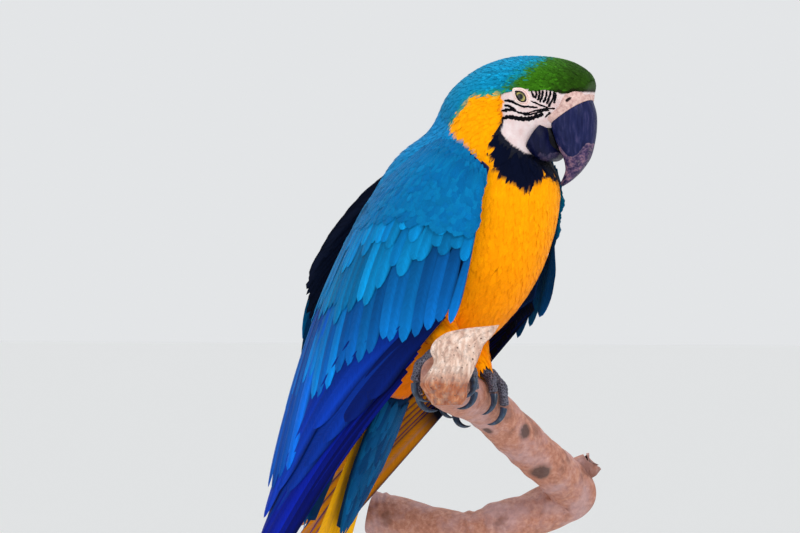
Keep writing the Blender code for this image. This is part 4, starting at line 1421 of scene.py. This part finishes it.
def closed_tube(places, radius, sides=10):
    """A ring of soft tube along a closed line of places in the bird's mm."""
    bm, u, v = flat_grid(sides, len(places))
    index = np.round(v * len(places)).astype(int) % len(places)
    ahead = unit(np.roll(places, -1, axis=0) - np.roll(places, 1, axis=0))
    inward = places - places.mean(axis=0)
    inward = unit(inward - ahead * (ahead * inward).sum(1, keepdims=True))
    other = np.cross(ahead, inward)
    return closed_up(bm, ring_at(places[index], inward[index], other[index], radius + 0 * u, u))


def build_eyes(glass, skin):
    """Each eye: a glass ball with painted rings looking outward and a little forward, and its lids."""
    for hand, label in SIDE.items():
        centre = Vector(to_world(on_head(hand * EYE[0], EYE[1], EYE[2])))
        near = to_world(on_head(0.0, EYE[1] - 1.2, EYE[2]))
        far = to_world(on_head(hand * 10.0, EYE[1], EYE[2]))
        outward = Vector(far - near).normalized()
        bm = bmesh.new()
        bmesh.ops.create_uvsphere(bm, u_segments=64, v_segments=48, radius=EYE_RADIUS * MM)
        # The sphere's faces come in a new order on every run, so they are set in one order here
        bm.verts.index_update()
        bm.faces.sort(key=lambda face: float(sum(v.index**2 for v in face.verts)))
        turn = outward.to_track_quat("Z", "Y").to_matrix().to_4x4()
        turn.translation = centre
        bmesh.ops.transform(bm, verts=bm.verts, matrix=turn)
        obj = link(f"eye_{label}_glass", bm, glass, "eye", f"eye_{label}")
        co = np.array([v.co for v in obj.data.vertices]) - np.array(centre)
        angle = np.degrees(np.arccos(np.clip(co @ np.array(outward) / (EYE_RADIUS * MM), -1, 1)))
        spoke = np.arctan2(co[:, 2], co[:, 0] + 1e-9)
        iris = blend("#6E6F4C", "#BDB05E", smooth(18, 25, angle))
        iris = blend(iris, "#5C5E44", 0.35 * (np.sin(spoke * IRIS_SPOKES) > 0.3))
        colour = blend("#02030A", iris, smooth(15.8, 16.9, angle))
        painted(obj.data, blend(colour, "#2A2820", smooth(29, 32, angle)))
        build_lids(label, hand, skin)


# Opening of the eye as (ahead, rise) from its middle; the pointed corner is the rear one
EYE_OPENING = np.array(
    (
        (-4.7, 4.2), (-2.4, 4.3), (0.4, 3.7), (2.6, 2.3), (4.0, 0.1),
        (4.4, -2.4), (3.4, -4.0), (1.0, -3.9), (-1.4, -2.5), (-3.2, 0.4),
    ),
    dtype=float,
)


def eye_opening(spread, count=60):
    """The opening's outline, evenly spaced and pushed outward by a few tenths of a mm."""
    loop = np.vstack((EYE_OPENING[-2:], EYE_OPENING, EYE_OPENING[:2]))
    share = (1.5 + len(EYE_OPENING) * (np.arange(count) + 0.5) / count) / (len(loop) - 1)
    line = 0.88 * spline(loop, share)
    return line * (1 + spread / np.linalg.norm(line, axis=1, keepdims=True))


# Lids, from the rim outward: distance from the opening, radius, rise over the skin, colour
EYELIDS = ((0.0, 0.42, 0.25, "#120D14"), (0.95, 0.72, 0.0, "#E6D2CE"), (2.3, 0.75, -0.35, "#F0DEDA"))


def build_lids(label, hand, skin):
    """A thin dark rim round the opening of the eye, and two soft folds of pale lid outside it."""
    for number, (spread, wire, rise, code) in enumerate(EYELIDS):
        line = eye_opening(spread)
        away = np.linalg.norm(line - (-0.6, -0.3), axis=1)
        bulge = np.maximum(np.sqrt(np.maximum(EYE_RADIUS**2 - away**2, 0)) - 5.7, 0)
        t, turn = on_cheek(line[:, 0] + EYE[1] + 0.9, line[:, 1] + EYE[2] + 0.2, hand)
        tube = closed_tube(body_at(t, turn, bulge + rise), wire)
        painted(link(f"eyelid_{label}_{number}", tube, skin, "scaly_skin").data, linear(code))


# Lines of small black feathers on the bare face: width, then (ahead, rise) places in mm
FACE_LINES = (
    (1.9, ((5.8, 212.8), (10.5, 212.6), (13.6, 211.1), (15.9, 209.8))),
    (1.5, ((14.6, 210.6), (19.4, 208.3), (22.7, 208.4), (26.1, 207.9), (29.6, 207.6))),
    (1.2, ((25.5, 212.3), (28, 211.3), (30.2, 210.1), (33, 208.9), (36.7, 207.3))),
    (1.9, ((5.6, 209.5), (7.2, 209.3), (10, 208.6), (12.4, 206.8), (14.1, 206.2))),
    (2.1, ((3.4, 204.7), (5.8, 205.7), (9, 206), (11.6, 206), (14.9, 205.2))),
    (1.8, ((14.4, 204.6), (16.8, 203.9), (19.7, 203.1), (23.1, 203.6))),
    (1.3, ((22, 203.3), (27.3, 205.2), (31.7, 206.2), (35.8, 206.9), (41, 206.9))),
    (1.5, ((19.3, 202.1), (21.9, 202.3), (25.5, 203), (29, 204.1), (32.8, 205.3), (36.8, 205.8))),
    (3.4, ((4.3, 199.3), (6.4, 201.1), (8.9, 201.3), (11.8, 200.4), (15.2, 199.7), (19.3, 199.2), (24, 200),
           (28.3, 201.4), (32.5, 202.5))),
    (1.5, ((33.1, 200.3), (35.5, 202.8), (37.4, 204.3))),
    (1.5, ((26.4, 219.7), (27.2, 217.5), (27.6, 215.9), (28.4, 214.5))),
    (1.7, ((29.3, 220.2), (30.2, 218.2), (29.6, 215.4), (28.9, 214.0))),
    (1.7, ((31.5, 220.3), (32.8, 218.4), (31.9, 215.4), (30.3, 212.7))),
    (1.7, ((34.4, 220.1), (34.9, 217.3), (33.1, 214.5), (32, 211.3))),
    (1.7, ((37.2, 220.3), (37.4, 217.8), (36.5, 214.7), (34.1, 211.1))),
    (1.7, ((39.7, 220.6), (40, 218), (38.3, 214.1), (36.4, 210.2))),
    (1.7, ((41.8, 220), (42.5, 217.1), (40.7, 213.4), (38.5, 210.2), (36.9, 208.2))),
    (1.5, ((43.5, 218.3), (42.9, 215), (41.2, 210.6))),
)


def on_cheek(ahead, rise, hand):
    """Body coordinates (t, turn) of places on the side of the head, found by stepping closer."""
    t = np.full(len(ahead), 0.78)
    turn = np.full(len(ahead), 0.25)
    step = 0.002
    for _ in range(60):
        at = body_flat(t, turn)[:, 1:]
        miss = np.stack((ahead + HEAD_FORE, rise), -1) - at
        dt = (body_flat(t + step, turn)[:, 1:] - at) / step
        du = (body_flat(t, turn + step)[:, 1:] - at) / step
        det = dt[:, 0] * du[:, 1] - dt[:, 1] * du[:, 0]
        det = np.where(np.abs(det) < 50, 50 * np.sign(det + 1e-9), det)
        t = np.clip(t + 0.6 * (miss[:, 0] * du[:, 1] - miss[:, 1] * du[:, 0]) / det, 0.4, 0.98)
        turn = np.clip(turn + 0.6 * (dt[:, 0] * miss[:, 1] - dt[:, 1] * miss[:, 0]) / det, 0.03, 0.47)
    return t, (turn if hand > 0 else 1 - turn)


def build_face_lines(mat):
    """Rows of tiny black feathers lying on the bare skin, the same on both sides."""
    rng = np.random.default_rng(5)
    start, end, wide = [], [], []
    for thick, line in FACE_LINES:
        line = np.array(line, float)
        far = lengths_along(line)
        at = np.arange(0, max(far[-1] - 0.6, 0.5), 0.45)
        shift = rng.normal(0, 0.05 + 0.09 * thick, (len(at), 2))
        for ends, more in ((start, 0.0), (end, 2.5)):
            along = np.minimum(at + more, far[-1] + 0.4)
            ends.append(np.stack([np.interp(along, far, axis) for axis in line.T], -1) + shift)
        taper = 0.55 + 0.45 * np.sin(np.pi * np.clip(0.12 + 0.8 * at / far[-1], 0, 1))
        wide.append(0.95 * thick * taper * rng.uniform(0.8, 1.15, len(at)))
    start, end, wide = (np.concatenate(v) for v in (start, end, wide))
    blank, faces = FACE_TUFT
    flat = 0 * wide
    parts = []
    for hand in SIDE:
        root, tip = (np.stack(on_cheek(*ends.T, hand), -1) for ends in (start, end))
        places = stretched(body_at, root, tip, blank, wide, flat + 0.05, flat + 0.25, 0.14)
        tint = shaded(np.tile(linear("#08080E"), (len(wide), 1)), blank, rng, 0.1, None, 0.9)
        vane = vane_uv(blank, flat + 2.5, wide, rng)
        parts.append((places, tint, vane, patch_uv(root[:, 1], root[:, 0], blank)))
    places, tint, vane, patch = (np.concatenate(v) for v in zip(*parts))
    copies_mesh("face_feather_lines", places, faces, tint, vane, patch, mat, "plumage_crown")


# ---------------------------------------------------------------- feet and perch



def limb_place(t):
    """Places along the middle of the limb."""
    return spline(LIMB, t)


def limb_radius(t):
    """Radius with a swollen elbow and a knot beyond it."""
    swell = 2.6 * np.exp(-(((t - 0.54) / 0.05) ** 2))
    knot = 1.8 * np.exp(-(((t - 0.66) / 0.03) ** 2))
    return LIMB_RADIUS + swell + knot


def toe_place(at, shift, wrap, radius):
    """A place over the limb, wrapped round it by an angle and set along it in mm."""
    place, ahead, up, side = path_frames(limb_place, at)
    outward = up * np.cos(wrap)[..., None] + side * np.sin(wrap)[..., None]
    middle = place + ahead * shift[..., None] + outward * (LIMB_RADIUS + 0.75 + radius)[..., None]
    return middle, outward, ahead


# Each toe: name, shift along the limb at root and tip, wrap start and end in degrees
TOES = (
    ("inner", -4.9, -8.5, 24, 92),
    ("outer", 4.9, 10.0, 24, 108),
    ("hind_inner", -4.9, -8.0, -24, -80),
    ("hind_outer", 4.9, 9.5, -24, -98),
)


def toe_shape(at, root, end, first, last):
    """One scaly toe with joint bulges and a row of plates along its upper side."""

    def shape(t, u):
        bulge = 4.2 * (1 - 0.24 * t + 0.07 * np.cos(t * 4 * np.pi)) * (1 - 0.35 * smooth(0.93, 1.0, t))
        wrap = np.radians(first + (last - first) * t)
        middle, outward, ahead = toe_place(np.full(t.shape, at), root + (end - root) * t, wrap, bulge)
        plates = 0.28 * np.abs(np.sin(t * np.pi * 11)) ** 0.6 * smooth(-0.1, 0.5, np.cos(2 * np.pi * u))
        return ring_at(middle, outward, ahead, bulge * 0.98 + plates, u)

    return shape


def claw_shape(at, end, last):
    """A curved claw, deeper than wide, drawn to a point."""
    sign = 1 if last > 0 else -1

    def shape(t, u):
        radius = np.maximum(2.75 * (1 - t) ** 0.62, 0.06)
        wrap = np.radians(last + sign * (3.5 + 52.0 * t))
        lift = 0.9 + 2.2 * np.sin(np.pi * t)
        middle, outward, ahead = toe_place(np.full(t.shape, at), end + 0 * t, wrap, radius + lift)
        return ring_at(middle, outward * 1.08, ahead * 0.86, radius, u)

    return shape


def shank_shape(hand):
    """The short scaly leg from the foot to the feathers, ringed with small plates."""
    at = np.full(2, FOOT_AT[hand])
    (sole, ankle), _, _ = toe_place(at, 0 * at, 0 * at, np.array((0.4, 5.5)))
    knee, hip, _, _ = leg_line(hand)
    table = np.array((sole, ankle, ankle + (knee - ankle) * 0.55, knee, knee + (hip - knee) * 0.12))

    def shape(t, u):
        ahead = spline(table, np.minimum(t + 0.01, 1)) - spline(table, np.maximum(t - 0.01, 0))
        ahead = unit(ahead)
        first = unit(np.cross(ahead, (0.0, 1.0, 0.0)))
        radius = np.interp(t, (0, 0.25, 0.5, 0.75, 1), (5.4, 6.3, 5.0, 4.9, 5.0))
        plates = 0.30 * np.abs(np.sin(t * np.pi * 9)) ** 0.6
        return ring_at(spline(table, t), first, np.cross(ahead, first), radius + plates, u)

    return shape


def build_feet(scales, horn):
    """Two feet gripping the limb, two toes before and two behind, and the bare shanks."""
    for hand, label in SIDE.items():
        at = FOOT_AT[hand]
        for name, root, end, first, last in TOES:
            toe, claw = f"toe_{name}_{label}", f"claw_{name}_{label}"
            tube = wrapped_grid(toe_shape(at, root, end, first, last), 28, 66)
            link(toe + "_scaled", tube, scales, "scaly_skin", toe)
            link(claw + "_horn", wrapped_grid(claw_shape(at, end, last), 20, 30), horn, "claw", claw)
        shank = f"shank_{label}"
        link(shank + "_scaled", wrapped_grid(shank_shape(hand), 36, 60), scales, "scaly_skin", shank)


def ripple(t, angle, seed):
    """Sums a few waves round and along a limb, for fissures and flats; about -1 to 1."""
    rng = np.random.default_rng(seed)
    out = 0 * t
    for _ in range(10):
        k = rng.integers(1, 7)
        f = rng.uniform(4, 30)
        out = out + np.sin(k * angle + f * t * 6.28 + rng.uniform(0, 6.28)) * rng.uniform(0.3, 1.0)
    return out / 3.5


def limb_shape(t, u):
    """The bent limb with bark ripples; smooth where the feet hold it."""
    place, _, up, side = path_frames(limb_place, t)
    held = sum(np.exp(-(((t - at) / 0.05) ** 2)) for at in FOOT_AT.values())
    rough = 0.9 * ripple(t, 2 * np.pi * u, 8) * (1 - np.clip(held, 0, 1)) - 0.35
    return ring_at(place, up, side, limb_radius(t) + rough, u)


# Levels of the broken stump: place along its face and square to it, rise, half-width, half-depth
STUMP_FACE = (0.616, 0.788)
STUMP = np.array(
    (
        (-9.5, 84, -6, 10.5, 9),
        (-9.3, 85, 0, 13.2, 12),
        (-12.2, 86, 5.8, 15.5, 15),
        (-12.2, 87, 10, 16.8, 16),
        (-8.2, 88, 17.4, 15.8, 16),
        (-4.0, 88, 25, 15.6, 14),
        (-3.2, 88, 32.3, 18.2, 11),
        (-0.7, 88, 37.7, 18.2, 8.5),
        (4.2, 88, 42, 17.2, 6),
        (8.5, 88, 45, 15.0, 4.5),
        (18.8, 88, 48.6, 7.2, 3),
        (27.0, 88, 51.3, 0.8, 0.8),
    ),
    dtype=float,
)
NUB = np.array(((136, -14, -63), (143, -6, -58.5), (150.5, 2.5, -53.5), (151, 3, -53)), float)
NUB_RADII = (10.5, 9.6, 8.6, 6.4)


def stump_shape(t, u):
    """The splintered knob: torn fibres and cracks, running up to one long splinter."""
    row = spline(STUMP, t)
    angle = 2 * np.pi * u
    rise = row[..., 2]
    rough = 1 + 0.05 * np.sin(3 * angle + 0.1 * rise) + 0.04 * np.sin(5 * angle)
    fibre = np.sin(21 * angle + 1.5 * np.sin(5 * t)) + 0.7 * np.sin(37 * angle + 2 * np.sin(7 * t))
    torn = 1 + 0.016 * fibre * smooth(0.1, 0.4, t)
    crack = smooth(0.94, 1.0, np.cos(3 * angle + 0.6 * np.sin(9 * t) + 0.4))
    spread = rough * torn - 0.07 * crack * np.sin(np.pi * np.clip(t, 0, 1))
    across = row[..., 0] + row[..., 3] * spread * np.cos(angle)
    depth = row[..., 1] + row[..., 4] * spread * np.sin(angle)
    jag = np.sin(9 * angle) + 0.8 * np.sin(19 * angle + 1)
    rise = rise + jag * smooth(0.5, 0.75, t) * smooth(1.0, 0.85, t)
    ahead, aside = STUMP_FACE
    return np.stack((across * ahead - depth * aside, across * aside + depth * ahead, rise), -1)


def nub_shape(t, u):
    """The stub of a lost side branch at the elbow, lobed and narrowing to its broken end."""
    place, _, up, side = path_frames(lambda s: spline(NUB, s), t)
    angle = 2 * np.pi * u
    lobes = 1 + 0.05 * np.sin(4 * angle) + 0.03 * np.sin(9 * angle + 1)
    return ring_at(place, up, side, np.interp(t, (0, 0.33, 0.9, 1), NUB_RADII) * lobes, u)


# Knots in the bark: place and radius
KNOTS = (((59, 14, -27), 6.0), ((88, 6, -58), 8.0), ((30, 2, -26), 4.0), ((132, -40, -90), 5.0))


def build_perch(bark, wood):
    """The bark-covered limb, the broken stump at its upper end and the stub at its elbow."""
    limb = link("perch_bark", wrapped_grid(limb_shape, 110, 420), bark, "bark", "perch_limb", "perch_branch")
    co = places_of(limb)
    knots = sum(np.exp(-((np.linalg.norm(co - at, axis=1) / size) ** 2)) for at, size in KNOTS)
    painted(limb.data, knots[:, None], "wear_and_shade")
    stump = link("perch_broken_end", wrapped_grid(stump_shape, 150, 160), wood, "broken_wood", "perch_stump")
    co = places_of(stump)
    across = co[:, :2] @ STUMP_FACE
    # Orange-brown towards the bottom and the right side: partly the wood's own colour, partly painted shade.
    low = np.maximum(smooth(30, -2, co[:, 2]), 0.8 * smooth(4, 18, across) * smooth(46, 28, co[:, 2]))
    painted(stump.data, low[:, None], "wear_and_shade")
    nub = link("perch_elbow_stub", wrapped_grid(nub_shape, 60, 40), bark, "bark", "perch_nub")
    painted(nub.data, 0.0, "wear_and_shade")


def steel_round(name, radius, low, high, sides, flat, replaced, steel):
    """An upright steel cylinder over a box, shaded flat on its ends; the plate's rim is eased."""
    bm = bmesh.new()
    depth = high[2] - low[2]
    bmesh.ops.create_cone(bm, cap_ends=True, segments=sides, radius1=radius, radius2=radius, depth=depth)
    bmesh.ops.translate(bm, verts=bm.verts, vec=(Vector(low) + Vector(high)) / 2)
    if flat > 0.9:
        rims = [e for e in bm.edges if len(e.link_faces) == 2 and e.calc_face_angle(0) > 1.0]
        bmesh.ops.bevel(bm, geom=rims, offset=0.002, segments=4, profile=0.5, affect="EDGES", material=-1)
    obj = link(name, bm, steel, "steel", replaced)
    for polygon in obj.data.polygons:
        polygon.use_smooth = abs(polygon.normal.z) < flat


def build_stand(steel):
    """A round steel plate with an eased rim, and two steel rods up into the limb."""
    low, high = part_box("stand_base")
    steel_round("stand_plate", (high[0] - low[0]) / 2, low, high, 160, 0.999, "stand_base", steel)
    for number in (1, 2):
        low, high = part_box(f"stand_rod_{number}")
        steel_round(f"stand_upright_{number}", 0.005, low, high, 48, 0.9, f"stand_rod_{number}", steel)


# ---------------------------------------------------------------- stage

VIEW_AZIMUTH = math.radians(-52)
VIEW_WIDTH = 0.58
VIEW_DISTANCE = 8.0
VIEW_SHIFT = (-0.0435, 0.0932)
# Lamps: name, metres toward the camera, to its right and up from what it looks at, size, share of power
LAMPS = (
    ("key", 1.6, 0.9, 1.3, 1.0, 1.0),
    ("fill", 1.5, -1.6, 0.3, 1.6, 0.35),
    ("top", -0.6, 0.0, 1.8, 1.2, 0.6),
)


def aimed(name, data, place, look):
    """Places a lamp or the camera and turns it toward a point."""
    obj = bpy.data.objects.new(name, data)
    obj.location = place
    obj.rotation_euler = (look - place).to_track_quat("-Z", "Y").to_euler()
    bpy.context.scene.collection.objects.link(obj)
    return obj


def build_stage(floor_code, light_power):
    """Plain floor and backdrop, soft studio light and the camera."""
    mat, tree = new_material("studio_paper")
    finished(mat, ramp(tree, grain(tree, 60, 2.0), ((0.3, floor_code), (0.7, floor_code))), Roughness=0.9)
    bm = bmesh.new()
    bmesh.ops.create_grid(bm, x_segments=2, y_segments=2, size=60.0)
    mesh = bpy.data.meshes.new("studio_floor")
    bm.to_mesh(mesh)
    bm.free()
    mesh.materials.append(mat)
    floor = bpy.data.objects.new("studio_floor", mesh)
    bpy.context.scene.collection.objects.link(floor)
    floor.location.z = -0.0005
    bpy.context.view_layer.update()

    world = bpy.data.worlds.new("studio")
    bpy.context.scene.world = world
    world.use_nodes = True
    back = world.node_tree.nodes["Background"]
    back.inputs["Color"].default_value = rgba("#EEF0F2")
    back.inputs["Strength"].default_value = 0.9

    away = Vector((math.sin(VIEW_AZIMUTH), -math.cos(VIEW_AZIMUTH), 0))
    right = Vector((math.cos(VIEW_AZIMUTH), math.sin(VIEW_AZIMUTH), 0))
    look = Vector(GRIP) + right * VIEW_SHIFT[0] + Vector((0, 0, VIEW_SHIFT[1]))
    for name, back_by, right_by, up_by, size, power in LAMPS:
        data = bpy.data.lights.new(name, "AREA")
        data.shape = "DISK"
        data.size = size
        data.energy = light_power * power
        aimed(name, data, look + away * back_by + right * right_by + Vector((0, 0, up_by)), look)
    data = bpy.data.cameras.new("camera")
    data.lens = 36.0 * VIEW_DISTANCE / VIEW_WIDTH
    data.clip_end = 200
    bpy.context.scene.camera = aimed("camera", data, look + away * VIEW_DISTANCE, look)
    bpy.context.scene.view_settings.view_transform = "Standard"


# ---------------------------------------------------------------- add-on


FINISHES = {
    "contour": (feather_material, "contour_feathers", 0.42, 0.66, 0.04, 0.14),
    "vane": (feather_material, "flight_feather_vanes", 0.55, 0.5, 0.03, 0.2),
    "skin": (skin_material,),
    "bill": (bill_material,),
    "cere": (cere_material,),
    "eye": (eye_material,),
    "scales": (scale_material,),
    "claw": (claw_material,),
    "bark": (bark_material,),
    "wood": (broken_wood_material,),
    "steel": (steel_material,),
}


MADE = {}


def finish(name):
    """A finish of the model, made once and shared."""
    if name not in MADE:
        make, *settings = FINISHES[name]
        MADE[name] = make(*settings)
    return MADE[name]


def body_gap(gap):
    """Spacing of the contour feathers along the body, finest on the forehead."""
    places = (0, 0.3, 0.5, 0.6, 0.68, 0.78, 0.9, 1.0)
    shares = np.array((1.1, 1.1, 1.0, 0.84, 0.68, 0.52, 0.43, 0.39))
    return lambda t: np.interp(t, places, gap * shares)


# Body plumage: part, first and last share of the body's length, blank, slot and seed
BODY_COATS = (
    ("vent", 0.0, 0.17, SILK, "plumage_yellow", 20),
    ("belly", 0.17, 0.36, SILK, "plumage_yellow", 21),
    ("breast", 0.36, 0.58, SILK, "plumage_yellow", 22),
    ("neck", 0.58, 0.72, SILK, "plumage_yellow", 23),
    ("head", 0.72, 0.994, FACE_TUFT, "plumage_crown", 24),
)

# Tail coverts: piece, node, root and tip (fore, rise), half-width, depth, the way they face, colours
TAIL_COVERTS = (
    ("undertail_feathers", "undertail_coverts", (-66, -14), (-111, -104), 21, 7, 1, ("#03396A", "#07588C")),
    ("uppertail_feathers", "uppertail_coverts", (-106, -2), (-142, -98), 20, 6, -1, ("#0A62A8", "#0C7CBC")),
)


class MACAW_PG_sizes(bpy.types.PropertyGroup):
    """Sizes and colours of the model that a user may change."""

    feather_gap: bpy.props.FloatProperty(
        name="Feather gap",
        description="Spacing of the contour feathers on the breast, in millimetres",
        default=3.8,
        min=3.0,
        max=12.0,
    )
    floor_colour: bpy.props.StringProperty(
        name="Floor colour", description="Hex colour of the studio floor", default="#FCFCFB"
    )
    light_power: bpy.props.FloatProperty(
        name="Light power", description="Power of the main studio light", default=22.0, unit="POWER"
    )


class MACAW_OT_skin(bpy.types.Operator):
    """Builds the skin over the head, neck, trunk and thighs"""

    bl_idname = "macaw.skin"
    bl_label = "Skin"

    def execute(self, context):
        build_skin(finish("skin"))
        return {"FINISHED"}


class MACAW_OT_plumage(bpy.types.Operator):
    """Lays the contour feathers of the thighs, body, neck and head"""

    bl_idname = "macaw.plumage"
    bl_label = "Body plumage"

    def execute(self, context):
        gap = body_gap(context.scene.macaw_sizes.feather_gap)
        for hand in SIDE:
            thigh_feathers(hand, finish("contour"))
        for part, first, last, cut, slot, seed in BODY_COATS:
            body_feathers("feathers_" + part, first, last, gap, cut, finish("contour"), slot, seed)
        return {"FINISHED"}


class MACAW_OT_wings(bpy.types.Operator):
    """Builds both folded wings feather by feather"""

    bl_idname = "macaw.wings"
    bl_label = "Wings"

    def execute(self, context):
        for hand in SIDE:
            build_wing(hand, finish("vane"))
        return {"FINISHED"}


class MACAW_OT_tail(bpy.types.Operator):
    """Builds the tail feathers and the coverts over and under their roots"""

    bl_idname = "macaw.tail"
    bl_label = "Tail"

    def execute(self, context):
        build_tail(finish("vane"))
        for coverts in TAIL_COVERTS:
            build_tail_coverts(*coverts, finish("contour"))
        return {"FINISHED"}


class MACAW_OT_bill(bpy.types.Operator):
    """Builds the two bill halves and the cere"""

    bl_idname = "macaw.bill"
    bl_label = "Bill"

    def execute(self, context):
        build_bill(finish("bill"))
        build_cere(finish("cere"), finish("skin"))
        return {"FINISHED"}


class MACAW_OT_face(bpy.types.Operator):
    """Builds the eyes with their lids, and the feather lines of the bare face"""

    bl_idname = "macaw.face"
    bl_label = "Face"

    def execute(self, context):
        build_eyes(finish("eye"), finish("skin"))
        build_face_lines(finish("contour"))
        return {"FINISHED"}


class MACAW_OT_feet(bpy.types.Operator):
    """Builds the shanks, toes and claws"""

    bl_idname = "macaw.feet"
    bl_label = "Feet"

    def execute(self, context):
        build_feet(finish("scales"), finish("claw"))
        return {"FINISHED"}


class MACAW_OT_perch(bpy.types.Operator):
    """Builds the limb with its broken stump"""

    bl_idname = "macaw.perch"
    bl_label = "Perch"

    def execute(self, context):
        build_perch(finish("bark"), finish("wood"))
        return {"FINISHED"}


class MACAW_OT_stand(bpy.types.Operator):
    """Builds the steel base and its two rods"""

    bl_idname = "macaw.stand"
    bl_label = "Stand"

    def execute(self, context):
        build_stand(finish("steel"))
        return {"FINISHED"}


class MACAW_OT_stage(bpy.types.Operator):
    """Sets the floor, the lights and the camera"""

    bl_idname = "macaw.stage"
    bl_label = "Stage"

    def execute(self, context):
        sizes = context.scene.macaw_sizes
        build_stage(sizes.floor_colour, sizes.light_power)
        return {"FINISHED"}


OPERATORS = (
    MACAW_OT_skin,
    MACAW_OT_plumage,
    MACAW_OT_wings,
    MACAW_OT_tail,
    MACAW_OT_bill,
    MACAW_OT_face,
    MACAW_OT_feet,
    MACAW_OT_perch,
    MACAW_OT_stand,
    MACAW_OT_stage,
)


class MACAW_PT_panel(bpy.types.Panel):
    """Lists the steps that build the model"""

    bl_idname = "MACAW_PT_panel"
    bl_label = "Macaw"
    bl_space_type = "VIEW_3D"
    bl_region_type = "UI"
    bl_category = "Macaw"

    def draw(self, context):
        sizes = context.scene.macaw_sizes
        for name in ("feather_gap", "floor_colour", "light_power"):
            self.layout.prop(sizes, name)
        for operator in OPERATORS:
            self.layout.operator(operator.bl_idname)


CLASSES = (MACAW_PG_sizes, *OPERATORS, MACAW_PT_panel)


def register():
    """Adds the classes and the settings to Blender."""
    for cls in CLASSES:
        bpy.utils.register_class(cls)
    bpy.types.Scene.macaw_sizes = bpy.props.PointerProperty(type=MACAW_PG_sizes)


def unregister():
    """Takes the classes and the settings away again."""
    del bpy.types.Scene.macaw_sizes
    for cls in reversed(CLASSES):
        bpy.utils.unregister_class(cls)


def main():
    """Registers the add-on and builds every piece."""
    register()
    for operator in OPERATORS:
        getattr(bpy.ops.macaw, operator.bl_idname.split(".")[1])()


if __name__ == "__main__":
    main()
